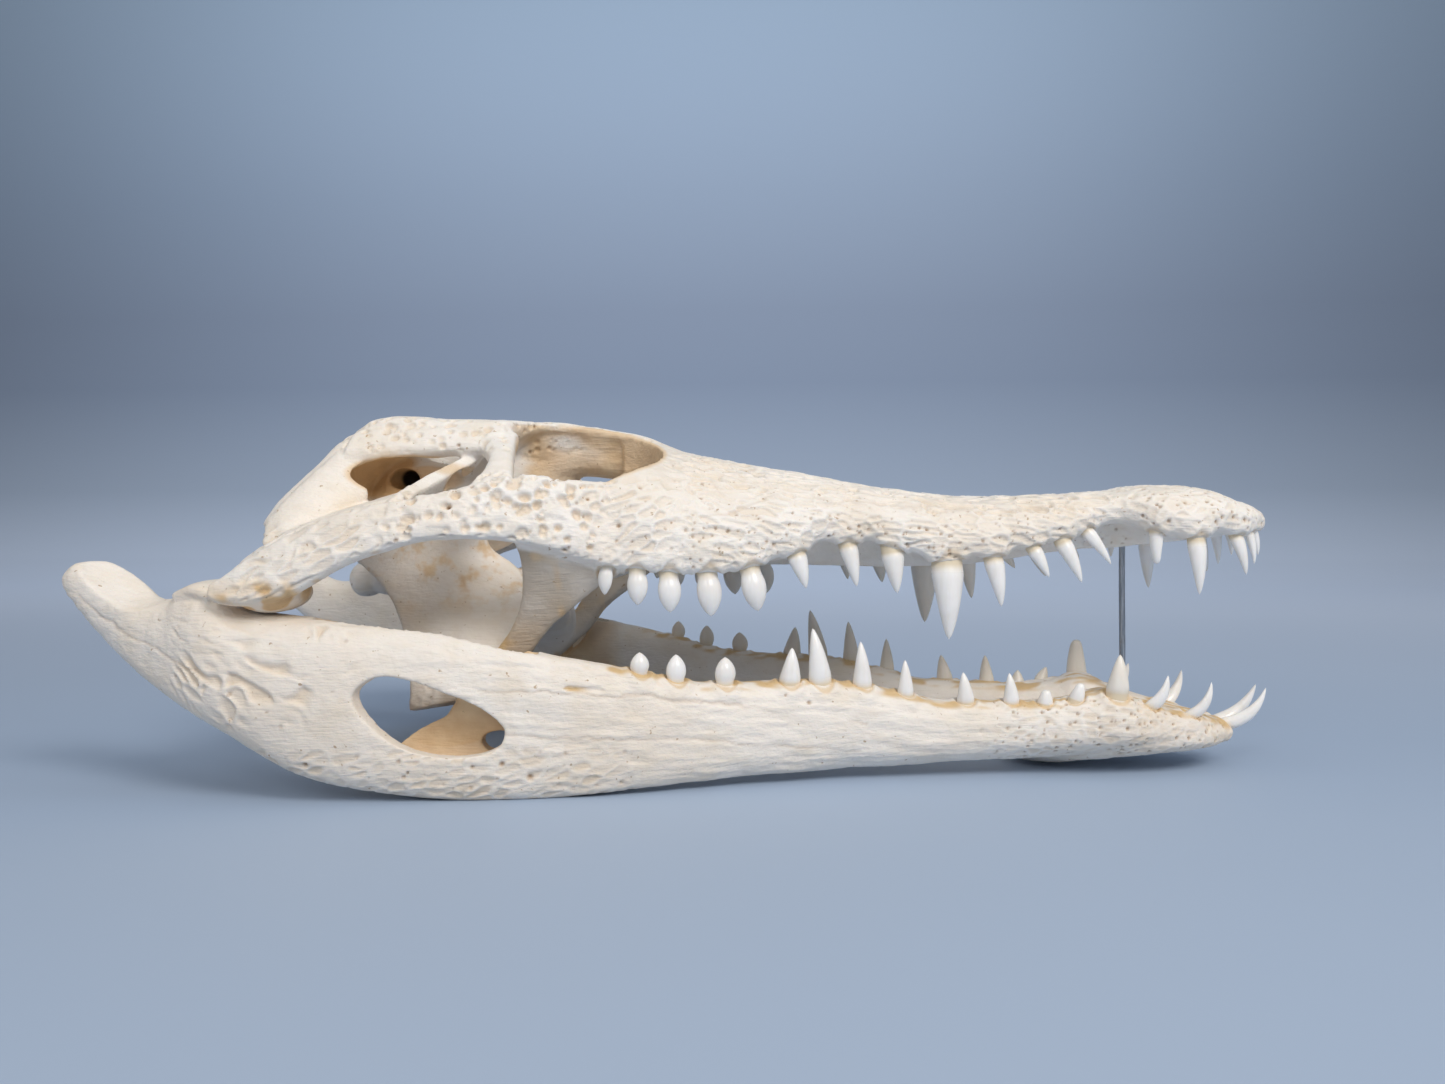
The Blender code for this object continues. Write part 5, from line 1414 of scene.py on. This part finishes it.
LIGHTS = (
    # name, place, aimed at, width, depth, watts, colour
    ("above", (0.1, -0.25, 1.15), (0.0, 0.0, 0.05), 1.0, 0.8, 2.2, (0.8, 0.9, 1.0)),
    ("front_right", (0.75, -0.95, 1.05), (0.0, 0.0, 0.05), 0.55, 0.55, 12.6, (1.0, 0.95, 0.895)),
    ("front_left", (-0.35, -1.25, 0.9), (-0.05, 0.0, 0.05), 0.55, 0.55, 4.2, (1.0, 0.945, 0.88)),
    ("backdrop", (-0.25, 0.95, 1.35), (-0.25, 2.1, 0.5), 2.6, 0.3, 16.0, (0.97, 0.98, 1.0)),
)
WORLD_COLOUR, WORLD_STRENGTH = (0.86, 0.84, 0.83, 1.0), 0.3


def build_light():
    for name, place_at, target, width, depth, watts, colour in LIGHTS:
        data = bpy.data.lights.new(name, "AREA")
        data.shape = "RECTANGLE"
        data.size, data.size_y = width, depth
        data.energy = watts
        data.color = colour
        obj = bpy.data.objects.new(name, data)
        bpy.context.scene.collection.objects.link(obj)
        obj.location = place_at
        aim = Vector(target) - Vector(place_at)
        obj.rotation_euler = aim.to_track_quat("-Z", "Y").to_euler()
    world = bpy.data.worlds.new("studio")
    world.use_nodes = True
    background = world.node_tree.nodes["Background"]
    feed(world.node_tree, background, {"Color": WORLD_COLOUR, "Strength": WORLD_STRENGTH})
    bpy.context.scene.world = world


# The camera that the photo's perspective gives: width of the photo, focal length and the aim
# left of and below straight ahead, in its pixels; then distance and height in metres.
PHOTO_WIDTH, FOCAL, AIM_LEFT, AIM_DOWN = 1445, 1040, 74.5, 7
CAMERA_AWAY, CAMERA_HIGH = 0.368, 0.0785
SENSOR = 36.0


def build_camera():
    """Low, close and nearly level."""
    data = bpy.data.cameras.new("camera")
    data.sensor_width = SENSOR
    data.lens = FOCAL / PHOTO_WIDTH * SENSOR
    data.clip_start = 0.01
    obj = bpy.data.objects.new("camera", data)
    bpy.context.scene.collection.objects.link(obj)
    yaw, pitch = math.atan(AIM_LEFT / FOCAL), math.atan(AIM_DOWN / FOCAL)
    aim = Vector((-math.sin(yaw) * math.cos(pitch), math.cos(yaw) * math.cos(pitch), -math.sin(pitch)))
    obj.location = (FORWARD * MM, -CAMERA_AWAY, CAMERA_HIGH)
    obj.rotation_euler = aim.to_track_quat("-Z", "Y").to_euler()
    bpy.context.scene.camera = obj


build_camera()
bone = bone_look()
build_bones(bone)
build_teeth(tooth_look())
build_wire(wire_look())
build_floor()
build_light()
bpy.context.scene.view_settings.view_transform = "Standard"
